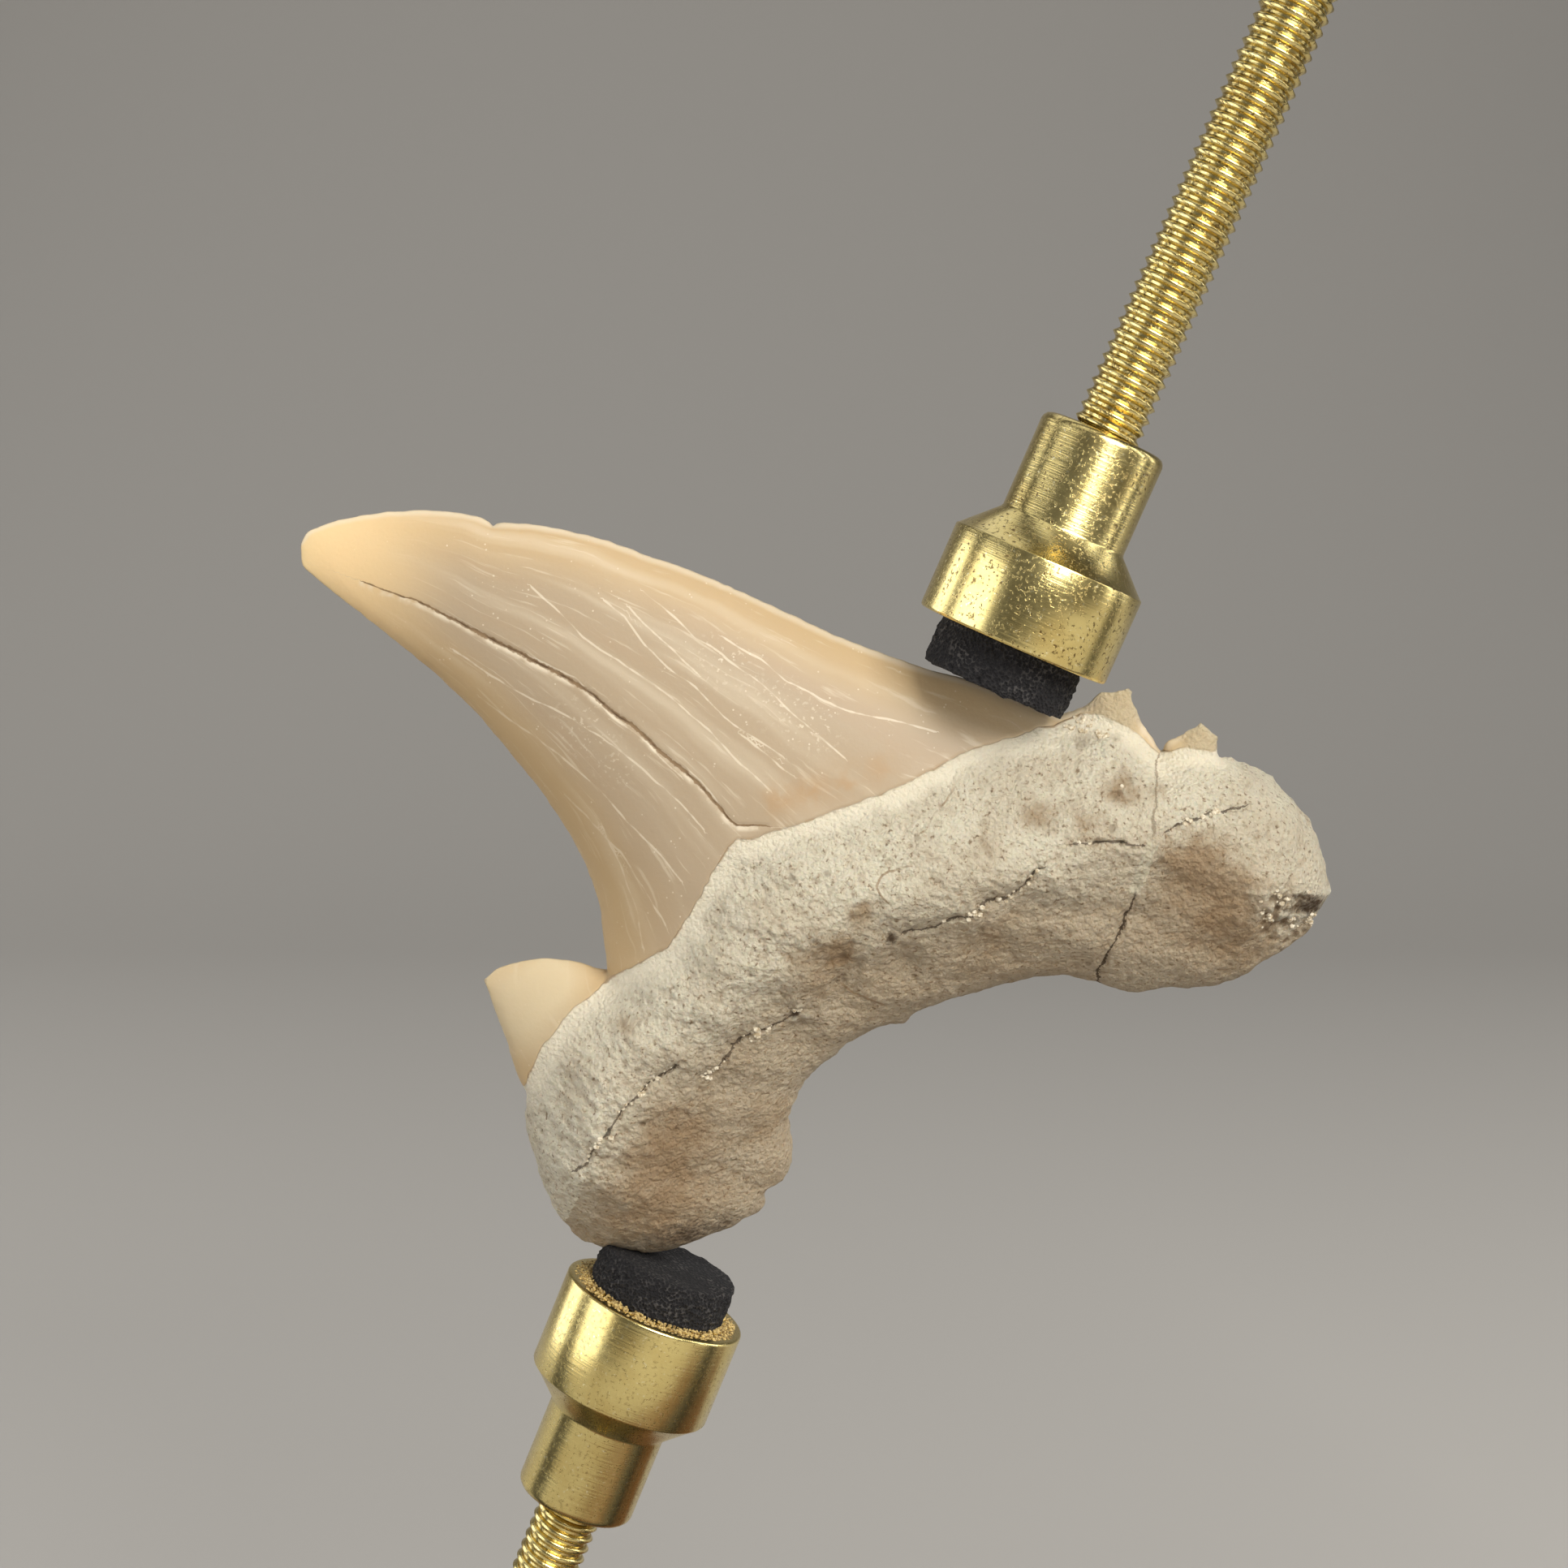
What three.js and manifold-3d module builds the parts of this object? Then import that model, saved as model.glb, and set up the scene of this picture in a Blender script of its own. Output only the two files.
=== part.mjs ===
// Fossil shark tooth held between two padded brass clamps inside an upright hoop.
// Millimetres, +Z up. The origin is under the middle of the base, and the tooth faces -Y.

import * as THREE from 'three';
import { mergeVertices } from 'three/addons/utils/BufferGeometryUtils.js';
import Module from 'manifold-3d';

const wasm = await Module();
wasm.setup();

// Driving dimensions: the stand
const gap = 0.3;
const baseLength = 120;
const baseDepth = 76;
const baseHeight = 20;
const baseCornerRadius = 4;
const baseBevel = 1.5;
const hoopInnerRadius = 76;
const hoopThickness = 4;
const hoopWidth = 20;
const hoopSunkInBase = 5;

// Driving dimensions: the clamps, one M4 rod each
const rodRadius = 1.95;
const rodEndChamfer = 0.4;
const capHeadRadius = 5.5;
const capNeckRadius = 3.57;
const capTaperLength = 1.75;
const capNeckLength = 5.65;
const capEdge = 0.2;
const capBoreDepth = 4.6;
const rodEngagement = 4;
const upperHeadLength = 5.0;
const lowerHeadLength = 5.85;
const padRadius = 4;
const upperPadHeight = 2.5;
const lowerPadHeight = 2.3;
const knobRadius = 6.5;
const knobLength = 10;
const knobChamfer = 0.8;
const knobClearance = 1;
const nutAcrossFlats = 7;
const nutHeight = 3.2;

// How many straight pieces stand for a full turn, and for a quarter turn of a small corner
const hoopSegments = 68;
const turnedSegments = 40;
const boreSegments = 24;
const cornerSegments = 6;
const bevelSegments = 2;

// Each clamp points outwards from the tooth: its turn from upright, the middle of the cap's face
// as seen from the hoop's centre, and how far along it the hoop's inside lies
const upperClamp = { turn: 23.5, face: [6.5, -4, 10.9], hoopAt: 63.4 };
const lowerClamp = { turn: 180 + 22, face: [-13.6, 4, -28.5], hoopAt: 44.45 };

// Driving dimensions: the tooth, in its own frame: x right, z up, y away from the viewer
const toothPlace = [-6, -1.45, 2.75];
const toothTilt = 8;
const outlineSpacing = 0.9;
const latticeSpacing = 1.16;
const latticeWobble = 0.03;
const rimRows = [0.3, 0.85];
const enamelRow = 0.4;
const clearOfRow = 0.9;
const clearOfLattice = 0.7;

// How full the tooth is: fullness per millimetre of swell, and heights and spreads in millimetres
const crownFullness = 0.8;
const crownEdgeEase = 8;
const crownBackShare = 0.36;
const rootFullness = 0.68;
const rootBackFullness = 0.3;
const rootSetBack = 2.2;
const rootBlend = 1.3;
const crestHeight = 1.9;
const crestSpread = 3.4;
const enamelStep = 0.28;
const enamelEdge = 0.25;
const rippleHeight = 0.16;
const rimEase = 2;
const leastBackShare = 0.05;

// The outline runs clockwise from the left notch; a new stretch starts at each sharp corner
const bladeEdge = [
  [-10.1, -10.9], [-10.2, -9.5], [-10.7, -5.9], [-12.6, -1.8], [-15.1, 1.7], [-17.9, 5.1],
  [-21.4, 8.3], [-25.4, 11.6], [-26.4, 12.6], [-26.5, 13.5], [-26.1, 14.4], [-25.3, 14.8],
  [-22.7, 15.4], [-20.1, 15.6], [-17.3, 15.4], [-15.9, 15.0], [-13.5, 14.8], [-10.2, 14.1],
  [-7.4, 13.1], [-4.9, 12.2], [-2.3, 11.1], [2.8, 8.7], [7.5, 6.9], [10.1, 6.2], [12.8, 5.2], [15.3, 4.1],
];
const firstRightCusp = [[15.3, 4.1], [16.5, 4.4], [17.2, 4.9], [18.2, 5.5], [19.1, 5.7]];
const firstRightCuspBack = [[19.1, 5.7], [19.7, 4.2], [20.3, 3.1], [21.2, 1.9]];
const secondRightCusp = [[21.2, 1.9], [21.4, 2.4], [22.1, 3.0], [23.2, 3.7]];
const secondRightCuspBack = [[23.2, 3.7], [23.8, 3.2], [24.2, 2.3], [24.5, 1.7]];
const rightLobe = [
  [24.5, 1.7], [25.8, 1.1], [27.2, 0.3], [29.0, -1.4], [30.3, -3.3], [31.0, -5.5], [31.4, -6.6],
  [30.6, -7.7], [30.3, -8.8], [29.3, -9.8], [27.9, -10.6], [26.4, -11.7], [24.8, -12.4],
  [22.1, -12.4], [20.0, -12.7], [18.6, -12.3], [16.9, -11.7], [15.7, -11.5], [14.2, -11.8],
  [11.9, -12.3], [9.5, -13.1], [7.5, -13.9], [7.1, -14.6], [5.9, -14.5], [4.7, -15.1],
  [2.5, -16.8], [1.0, -18.4], [0.3, -20.4],
];
const leftLobe = [
  [0.3, -20.4], [0.4, -21.6], [0.5, -22.9], [0.1, -24.2], [-1.0, -25.1], [-1.3, -26.2],
  [-2.4, -26.9], [-3.9, -27.6], [-5.8, -28.5], [-7.5, -28.9], [-8.8, -28.9], [-11.1, -28.5],
  [-12.2, -28.0], [-13.3, -26.8], [-13.9, -25.3], [-14.9, -21.9], [-15.1, -20.1], [-15.0, -18.4],
];
const leftCusp = [[-15.0, -18.4], [-15.9, -15.2], [-16.6, -13.0], [-17.1, -11.4]];
const leftCuspTop = [
  [-17.1, -11.4], [-16.3, -10.7], [-14.7, -10.2], [-13.1, -10.1], [-11.5, -10.4], [-10.1, -10.9],
];
const outlineStretches = [
  bladeEdge, firstRightCusp, firstRightCuspBack, secondRightCusp, secondRightCuspBack,
  rightLobe, leftLobe, leftCusp, leftCuspTop,
];

// Where the enamel of the crown and the side cusps meets the root, from left to right
const enamelLine = [
  [-16.2, -19.4], [-14.8, -17.6], [-13.8, -15.0], [-12.4, -13.1], [-9.6, -10.7], [-6.4, -8.3],
  [-5.0, -5.8], [-3.6, -3.1], [-2.6, -1.7], [-1.5, -1.6], [1.0, -0.7], [5.5, 0.8], [10.0, 2.7],
  [13.0, 3.5], [15.3, 3.5], [19.6, 2.6], [21.0, 1.9], [22.4, 2.4], [24.0, 2.0], [25.6, 2.4],
];

// The highest line of the swollen root, from the lower lobe to the right lobe
const rootCrest = [
  [-11.0, -21.5], [-8.9, -15.8], [-5.2, -11.6], [-1.6, -8.4], [1.5, -5.8], [8.1, -3.7],
  [14.7, -2.2], [21.5, -1.2], [25.7, -2.6], [27.6, -5.0],
];

// Dimples and knobs of the root: x, z, height (minus is a hollow) and spread
const rootRelief = [
  [-3.5, -22.5, -0.5, 2.6], [-8.5, -24.6, 0.35, 2.2], [-10.8, -18.0, 0.35, 1.8], [0.7, -13.2, -0.5, 1.2],
  [3.4, -10.8, -0.45, 1.3], [6.6, -8.8, -0.5, 1.1], [9.8, -5.2, 0.35, 2.4], [16.5, -8.4, 0.3, 2.2],
  [19.9, -6.6, -0.4, 0.9], [28.6, -7.9, -0.9, 1.5], [25.2, -5.6, 0.4, 2.4], [12.4, -9.6, -0.35, 1.6],
];

const smoothStep = (from, to, value) => {
  const t = Math.min(Math.max((value - from) / (to - from), 0), 1);
  return t * t * (3 - 2 * t);
};

// A smooth curve through hand-placed points, sampled at about one spacing
function sampled(points, spacing) {
  const places = points.map(([x, z]) => new THREE.Vector3(x, 0, z));
  const curve = new THREE.CatmullRomCurve3(places, false, 'centripetal');
  const steps = Math.max(2, Math.round(curve.getLength() / spacing));
  return curve.getSpacedPoints(steps).map((p) => [p.x, p.z]);
}

// Distance to a line of points; the sign is plus on its left, going along it
function lineDistance(x, z, line) {
  let best = Infinity;
  let side = 1;
  for (let i = 0; i + 1 < line.length; i += 1) {
    const [ax, az] = line[i];
    const dx = line[i + 1][0] - ax;
    const dz = line[i + 1][1] - az;
    const t = Math.min(Math.max(((x - ax) * dx + (z - az) * dz) / (dx * dx + dz * dz), 0), 1);
    const distance = Math.hypot(x - ax - t * dx, z - az - t * dz);
    if (distance < best) {
      best = distance;
      side = dx * (z - az) - dz * (x - ax) >= 0 ? 1 : -1;
    }
  }
  return best * side;
}

function isInside(x, z, outline) {
  let inside = false;
  outline.forEach(([ax, az], i) => {
    const [bx, bz] = outline[(i + 1) % outline.length];
    const crosses = (az > z) !== (bz > z) && x < ((bx - ax) * (z - az)) / (bz - az) + ax;
    if (crosses) inside = !inside;
  });
  return inside;
}

// Points beside a line at a sideways offset, plus on its left
function beside(line, offset, isLoop) {
  return line.map(([x, z], i) => {
    const count = line.length;
    const [ax, az] = isLoop ? line[(i + count - 1) % count] : line[Math.max(i - 1, 0)];
    const [bx, bz] = isLoop ? line[(i + 1) % count] : line[Math.min(i + 1, count - 1)];
    const length = Math.hypot(bx - ax, bz - az);
    return [x - ((bz - az) / length) * offset, z + ((bx - ax) / length) * offset];
  });
}

// Delaunay triangles of points in a plane, added one at a time
function triangulate(points) {
  const far = 1000;
  const count = points.length;
  const all = [...points, [-far, -far], [far, -far], [0, far]];
  const circled = (a, b, c) => {
    const [ax, az] = all[a];
    const [bx, bz] = [all[b][0] - ax, all[b][1] - az];
    const [cx, cz] = [all[c][0] - ax, all[c][1] - az];
    const twiceArea = 2 * (bx * cz - bz * cx);
    const ux = (cz * (bx * bx + bz * bz) - bz * (cx * cx + cz * cz)) / twiceArea;
    const uz = (bx * (cx * cx + cz * cz) - cx * (bx * bx + bz * bz)) / twiceArea;
    return { corners: [a, b, c], x: ax + ux, z: az + uz, radiusSquared: ux * ux + uz * uz };
  };
  let triangles = [circled(count, count + 1, count + 2)];
  for (let i = 0; i < count; i += 1) {
    const [x, z] = all[i];
    const kept = [];
    const rim = new Map();
    for (const triangle of triangles) {
      if ((x - triangle.x) ** 2 + (z - triangle.z) ** 2 > triangle.radiusSquared) {
        kept.push(triangle);
        continue;
      }
      triangle.corners.forEach((a, k) => {
        const b = triangle.corners[(k + 1) % 3];
        const key = `${Math.min(a, b)},${Math.max(a, b)}`;
        if (rim.has(key)) rim.delete(key);
        else rim.set(key, [a, b]);
      });
    }
    for (const [a, b] of rim.values()) kept.push(circled(a, b, i));
    triangles = kept;
  }
  return triangles.map((triangle) => triangle.corners).filter((corners) => Math.max(...corners) < count);
}

// Outline, rows inside the rim, rows along the enamel line, and an even lattice between them
function toothMesh() {
  const outline = outlineStretches.flatMap((stretch) => sampled(stretch, outlineSpacing).slice(0, -1));
  const points = [...outline];
  const keepsClear = (x, z, reach) => points.every(([px, pz]) => Math.hypot(px - x, pz - z) > reach);
  const tryRow = (row, reach) => {
    for (const [x, z] of row) {
      if (isInside(x, z, outline) && keepsClear(x, z, reach)) points.push([x, z]);
    }
  };
  for (const depth of rimRows) tryRow(beside(outline, -depth, true), clearOfRow * depth);
  const enamel = sampled(enamelLine, latticeSpacing);
  for (const side of [-1, 1]) tryRow(beside(enamel, (side * enamelRow) / 2, false), clearOfRow * enamelRow);
  const rowHeight = (latticeSpacing * Math.sqrt(3)) / 2;
  const box = new THREE.Box2().setFromPoints(outline.map(([x, z]) => new THREE.Vector2(x, z)));
  for (let row = Math.floor(box.min.y / rowHeight); row * rowHeight < box.max.y; row += 1) {
    const shift = (latticeSpacing / 2) * Math.abs(row % 2);
    const lattice = [];
    const firstColumn = Math.floor(box.min.x / latticeSpacing);
    for (let column = firstColumn; column * latticeSpacing < box.max.x; column += 1) {
      const wobble = latticeWobble * Math.sin(13 * column + 78 * row);
      lattice.push([column * latticeSpacing + shift + wobble, row * rowHeight + wobble]);
    }
    tryRow(lattice, clearOfLattice * latticeSpacing);
  }
  const triangles = triangulate(points).filter((corners) => {
    const middleX = corners.reduce((sum, k) => sum + points[k][0], 0) / 3;
    const middleZ = corners.reduce((sum, k) => sum + points[k][1], 0) / 3;
    return isInside(middleX, middleZ, outline);
  });
  return { points, triangles, rimCount: outline.length };
}

// Swell of a skin blown up over the outline: zero at the rim, near the half width in the middle
function swellOf({ points, triangles, rimCount }) {
  const neighbours = points.map(() => new Map());
  const areas = points.map(() => 0);
  for (const corners of triangles) {
    corners.forEach((a, k) => {
      const b = corners[(k + 1) % 3];
      const c = corners[(k + 2) % 3];
      const [px, pz] = [points[a][0] - points[c][0], points[a][1] - points[c][1]];
      const [qx, qz] = [points[b][0] - points[c][0], points[b][1] - points[c][1]];
      const cross = Math.abs(px * qz - pz * qx);
      const weight = (px * qx + pz * qz) / (2 * Math.max(cross, 1e-6));
      neighbours[a].set(b, (neighbours[a].get(b) ?? 0) + weight);
      neighbours[b].set(a, (neighbours[b].get(a) ?? 0) + weight);
      areas[a] += cross / 6;
    });
  }
  const lift = points.map(() => 0);
  const sweeps = 400;
  const overshoot = 1.9;
  for (let sweep = 0; sweep < sweeps; sweep += 1) {
    for (let i = rimCount; i < points.length; i += 1) {
      let pull = areas[i];
      let total = 0;
      for (const [j, weight] of neighbours[i]) {
        pull += weight * lift[j];
        total += weight;
      }
      if (total > 0) lift[i] += overshoot * (pull / total - lift[i]);
    }
  }
  return lift.map((value) => Math.sqrt(2 * Math.max(value, 0)));
}

// Front and back of the tooth at one point of its outline plane
function toothSection(x, z, swell) {
  const fromEnamel = lineDistance(x, z, enamelLine);
  const fromCrest = lineDistance(x, z, rootCrest);
  const root = smoothStep(rootBlend, -2 * rootBlend, fromEnamel);
  const nearRim = Math.min(swell / rimEase, 1);
  const middle = rootSetBack * root;
  const crown = (crownFullness * swell * swell) / (swell + crownEdgeEase);
  const enamel = enamelStep * smoothStep(-enamelEdge, enamelEdge, fromEnamel) * nearRim;
  const crest = crestHeight * Math.exp(-((fromCrest / crestSpread) ** 2)) * nearRim;
  const ripple = rippleHeight * Math.sin(1.1 * x + 0.6 * z) * Math.sin(0.5 * x - 1.3 * z + 1) * root;
  let relief = ripple;
  for (const [dimpleX, dimpleZ, height, spread] of rootRelief) {
    relief += root * height * Math.exp(-(((x - dimpleX) ** 2 + (z - dimpleZ) ** 2) / spread ** 2));
  }
  const smoothFront = THREE.MathUtils.lerp(crown, rootFullness * swell + crest, root);
  const smoothBack = THREE.MathUtils.lerp(crownBackShare * crown, rootBackFullness * swell, root);
  const front = smoothFront + enamel + relief * nearRim;
  const back = Math.max(smoothBack - ripple * nearRim, leastBackShare * swell);
  return { front: middle - front, back: middle + back, middle };
}

// A flat mesh with one front and one back sheet that share the rim, grown outwards if asked
function toothGeometry(mesh, swell, growth) {
  const { points, triangles, rimCount } = mesh;
  const positions = [];
  const backIndex = [];
  points.forEach(([x, z], i) => {
    const section = toothSection(x, z, swell[i]);
    positions.push(x, i < rimCount ? section.middle : section.front, z);
  });
  points.forEach(([x, z], i) => {
    backIndex.push(i < rimCount ? i : positions.length / 3);
    if (i >= rimCount) positions.push(x, toothSection(x, z, swell[i]).back, z);
  });
  const index = [];
  for (const [a, b, c] of triangles) {
    const turn = (points[b][0] - points[a][0]) * (points[c][1] - points[a][1])
      - (points[b][1] - points[a][1]) * (points[c][0] - points[a][0]);
    const [p, q, r] = turn > 0 ? [a, b, c] : [a, c, b];
    index.push(p, q, r, backIndex[p], backIndex[r], backIndex[q]);
  }
  const geometry = new THREE.BufferGeometry();
  geometry.setAttribute('position', new THREE.Float32BufferAttribute(positions, 3));
  geometry.setIndex(index);
  if (growth > 0) {
    geometry.computeVertexNormals();
    const normal = geometry.getAttribute('normal');
    const position = geometry.getAttribute('position');
    for (let i = 0; i < position.count; i += 1) {
      position.setXYZ(
        i,
        position.getX(i) + growth * normal.getX(i),
        position.getY(i) + growth * normal.getY(i),
        position.getZ(i) + growth * normal.getZ(i),
      );
    }
    geometry.deleteAttribute('normal');
  }
  return geometry;
}

// A closed geometry as a solid, for cutting and joining
function solidOf(geometry, matrix = new THREE.Matrix4()) {
  const bare = geometry.clone();
  bare.deleteAttribute('normal');
  bare.deleteAttribute('uv');
  bare.applyMatrix4(matrix);
  const merged = mergeVertices(bare, 1e-4);
  return new wasm.Manifold(new wasm.Mesh({
    numProp: 3,
    vertProperties: new Float32Array(merged.getAttribute('position').array),
    triVerts: new Uint32Array(merged.getIndex().array),
  }));
}

function geometryOf(solid, matrix = new THREE.Matrix4()) {
  const mesh = solid.getMesh();
  const geometry = new THREE.BufferGeometry();
  geometry.setAttribute('position', new THREE.BufferAttribute(mesh.vertProperties, 3));
  geometry.setIndex(new THREE.BufferAttribute(mesh.triVerts, 1));
  geometry.applyMatrix4(matrix);
  return geometry;
}

const turned = (profile, segments = turnedSegments) => new THREE.LatheGeometry(
  profile.map(([r, z]) => new THREE.Vector2(r, z)),
  segments,
).rotateX(Math.PI / 2);

// Standing shapes: a lathe turns about Z here, and its profile runs from the bottom up
function discBetween(radius, bottom, top, segments = turnedSegments) {
  return turned([[0, bottom], [radius, bottom], [radius, top], [0, top]], segments);
}

// The cap's face is at zero and its neck points up; the neck has a blind bore for the rod
function capGeometry(headLength) {
  const neckStart = headLength + capTaperLength;
  const top = neckStart + capNeckLength;
  const boreRadius = rodRadius + gap;
  return turned([
    [0, 0],
    [capHeadRadius - capEdge, 0],
    [capHeadRadius, capEdge],
    [capHeadRadius, headLength - capEdge / 2],
    [capHeadRadius - capEdge / 2, headLength],
    [capNeckRadius, neckStart],
    [capNeckRadius, top - 2 * capEdge],
    [capNeckRadius - 2 * capEdge, top],
    [boreRadius, top],
    [boreRadius, top - capBoreDepth],
    [0, top - capBoreDepth],
  ]);
}

function rodGeometry(bottom, top) {
  return turned([
    [0, bottom],
    [rodRadius - rodEndChamfer, bottom],
    [rodRadius, bottom + rodEndChamfer],
    [rodRadius, top - rodEndChamfer],
    [rodRadius - rodEndChamfer, top],
    [0, top],
  ], boreSegments);
}

function knobGeometry(bottom) {
  const top = bottom + knobLength;
  const boreRadius = rodRadius + gap;
  return turned([
    [boreRadius, bottom],
    [knobRadius - knobChamfer, bottom],
    [knobRadius, bottom + knobChamfer],
    [knobRadius, top - knobChamfer],
    [knobRadius - knobChamfer, top],
    [boreRadius, top],
    [boreRadius, bottom],
  ]);
}

function nutGeometry(bottom) {
  const cornerRadius = nutAcrossFlats / Math.sqrt(3);
  const hexagon = new THREE.Shape();
  for (let corner = 0; corner < 6; corner += 1) {
    const angle = (corner * Math.PI) / 3;
    const place = [cornerRadius * Math.cos(angle), cornerRadius * Math.sin(angle)];
    if (corner === 0) hexagon.moveTo(...place);
    else hexagon.lineTo(...place);
  }
  hexagon.closePath();
  const bore = new THREE.Path();
  bore.absarc(0, 0, rodRadius + gap, 0, 2 * Math.PI, true);
  hexagon.holes.push(bore);
  const settings = { depth: nutHeight, bevelEnabled: false, curveSegments: boreSegments };
  return new THREE.ExtrudeGeometry(hexagon, settings).translate(0, 0, bottom);
}

// A ring standing in the X-Z plane, centred on the origin
function ringGeometry(innerRadius, outerRadius, width) {
  const ring = new THREE.Shape();
  ring.absarc(0, 0, outerRadius, 0, 2 * Math.PI, false);
  const inside = new THREE.Path();
  inside.absarc(0, 0, innerRadius, 0, 2 * Math.PI, true);
  ring.holes.push(inside);
  const settings = { depth: width, bevelEnabled: false, curveSegments: hoopSegments };
  return new THREE.ExtrudeGeometry(ring, settings).translate(0, 0, -width / 2).rotateX(Math.PI / 2);
}

function blockGeometry() {
  const halfLength = baseLength / 2 - baseBevel;
  const halfDepth = baseDepth / 2 - baseBevel;
  const round = baseCornerRadius;
  const plan = new THREE.Shape();
  plan.moveTo(halfLength - round, -halfDepth);
  plan.absarc(halfLength - round, -halfDepth + round, round, -Math.PI / 2, 0, false);
  plan.absarc(halfLength - round, halfDepth - round, round, 0, Math.PI / 2, false);
  plan.absarc(-halfLength + round, halfDepth - round, round, Math.PI / 2, Math.PI, false);
  plan.absarc(-halfLength + round, -halfDepth + round, round, Math.PI, 1.5 * Math.PI, false);
  plan.closePath();
  const settings = {
    depth: baseHeight - 2 * baseBevel,
    bevelThickness: baseBevel,
    bevelSize: baseBevel,
    bevelSegments,
    curveSegments: cornerSegments,
  };
  return new THREE.ExtrudeGeometry(plan, settings).translate(0, 0, baseBevel);
}

const finishes = {
  tooth: { color: 0xd8cbb2, roughness: 0.6, metalness: 0 },
  brass: { color: 0xc9a955, roughness: 0.28, metalness: 1 },
  foam: { color: 0x1d1c1d, roughness: 0.95, metalness: 0 },
  steel: { color: 0x232325, roughness: 0.55, metalness: 0.2 },
  walnut: { color: 0x5a3d28, roughness: 0.5, metalness: 0 },
};

function named(name, finish, geometry) {
  const mesh = new THREE.Mesh(geometry, new THREE.MeshStandardMaterial(finishes[finish]));
  mesh.name = name;
  return mesh;
}

const model = new THREE.Group();
const hoopCentreHeight = baseHeight - hoopSunkInBase + hoopInnerRadius + hoopThickness;
const hoopCentre = new THREE.Vector3(0, 0, hoopCentreHeight);

// Groups that place the tooth and the two clamps
const toothGroup = new THREE.Group();
toothGroup.position.set(...toothPlace).add(hoopCentre);
toothGroup.rotation.x = THREE.MathUtils.degToRad(toothTilt);

function clampGroup({ turn, face }) {
  const group = new THREE.Group();
  group.position.set(...face).add(hoopCentre);
  group.rotation.y = THREE.MathUtils.degToRad(turn);
  return group;
}
const upperGroup = clampGroup(upperClamp);
const lowerGroup = clampGroup(lowerClamp);
model.add(toothGroup, upperGroup, lowerGroup);
model.updateMatrixWorld(true);

// The tooth, and the same tooth grown by the gap for cutting the pads
const mesh = toothMesh();
const swell = swellOf(mesh);
toothGroup.add(named('tooth', 'tooth', toothGeometry(mesh, swell, 0)));
const grownTooth = solidOf(toothGeometry(mesh, swell, gap), toothGroup.matrixWorld);

// A pad is a foam disc under the cap's face, hollowed where the tooth presses into it
function padGeometry(group, height) {
  const disc = solidOf(discBetween(padRadius, -gap - height, -gap), group.matrixWorld);
  return geometryOf(disc.subtract(grownTooth), group.matrixWorld.clone().invert());
}

const upperCapLength = upperHeadLength + capTaperLength + capNeckLength;
const lowerCapLength = lowerHeadLength + capTaperLength + capNeckLength;
const knobStart = upperClamp.hoopAt + hoopThickness + knobClearance;
const upperRodTop = knobStart + knobLength + rodEndChamfer;
const lowerRodTop = lowerClamp.hoopAt + hoopThickness - gap;
upperGroup.add(
  named('upper_pad', 'foam', padGeometry(upperGroup, upperPadHeight)),
  named('upper_cap', 'brass', capGeometry(upperHeadLength)),
  named('upper_rod', 'brass', rodGeometry(upperCapLength - rodEngagement, upperRodTop)),
  named('clamp_knob', 'brass', knobGeometry(knobStart)),
);
lowerGroup.add(
  named('lower_pad', 'foam', padGeometry(lowerGroup, lowerPadHeight)),
  named('lower_cap', 'brass', capGeometry(lowerHeadLength)),
  named('lower_rod', 'brass', rodGeometry(lowerCapLength - rodEngagement, lowerRodTop)),
  named('lower_nut', 'brass', nutGeometry(lowerClamp.hoopAt - gap - nutHeight)),
);

// The hoop with a clearance hole for each rod, and the block with a curved pocket for the hoop
function hoopGeometry() {
  const inverse = new THREE.Matrix4().makeTranslation(0, 0, -hoopCentreHeight);
  const standing = new THREE.Matrix4().makeTranslation(0, 0, hoopCentreHeight);
  const ring = solidOf(ringGeometry(hoopInnerRadius, hoopInnerRadius + hoopThickness, hoopWidth), standing);
  const drill = (group, along) => solidOf(
    discBetween(rodRadius + gap, along - hoopThickness, along + 2 * hoopThickness, boreSegments),
    group.matrixWorld,
  );
  const drilled = ring
    .subtract(drill(upperGroup, upperClamp.hoopAt))
    .subtract(drill(lowerGroup, lowerClamp.hoopAt));
  return geometryOf(drilled, inverse);
}

function baseGeometry() {
  const pocket = solidOf(
    ringGeometry(hoopInnerRadius / 2, hoopInnerRadius + hoopThickness + gap, hoopWidth + 2 * gap),
    new THREE.Matrix4().makeTranslation(0, 0, hoopCentreHeight),
  );
  return geometryOf(solidOf(blockGeometry()).subtract(pocket));
}

const hoop = named('hoop', 'steel', hoopGeometry());
hoop.position.copy(hoopCentre);
model.add(hoop, named('base', 'walnut', baseGeometry()));

export default model;
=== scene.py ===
import math

import bmesh
import bpy
import numpy as np
from mathutils import Matrix, Vector, geometry
from mathutils.bvhtree import BVHTree
from mathutils.kdtree import KDTree


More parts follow.
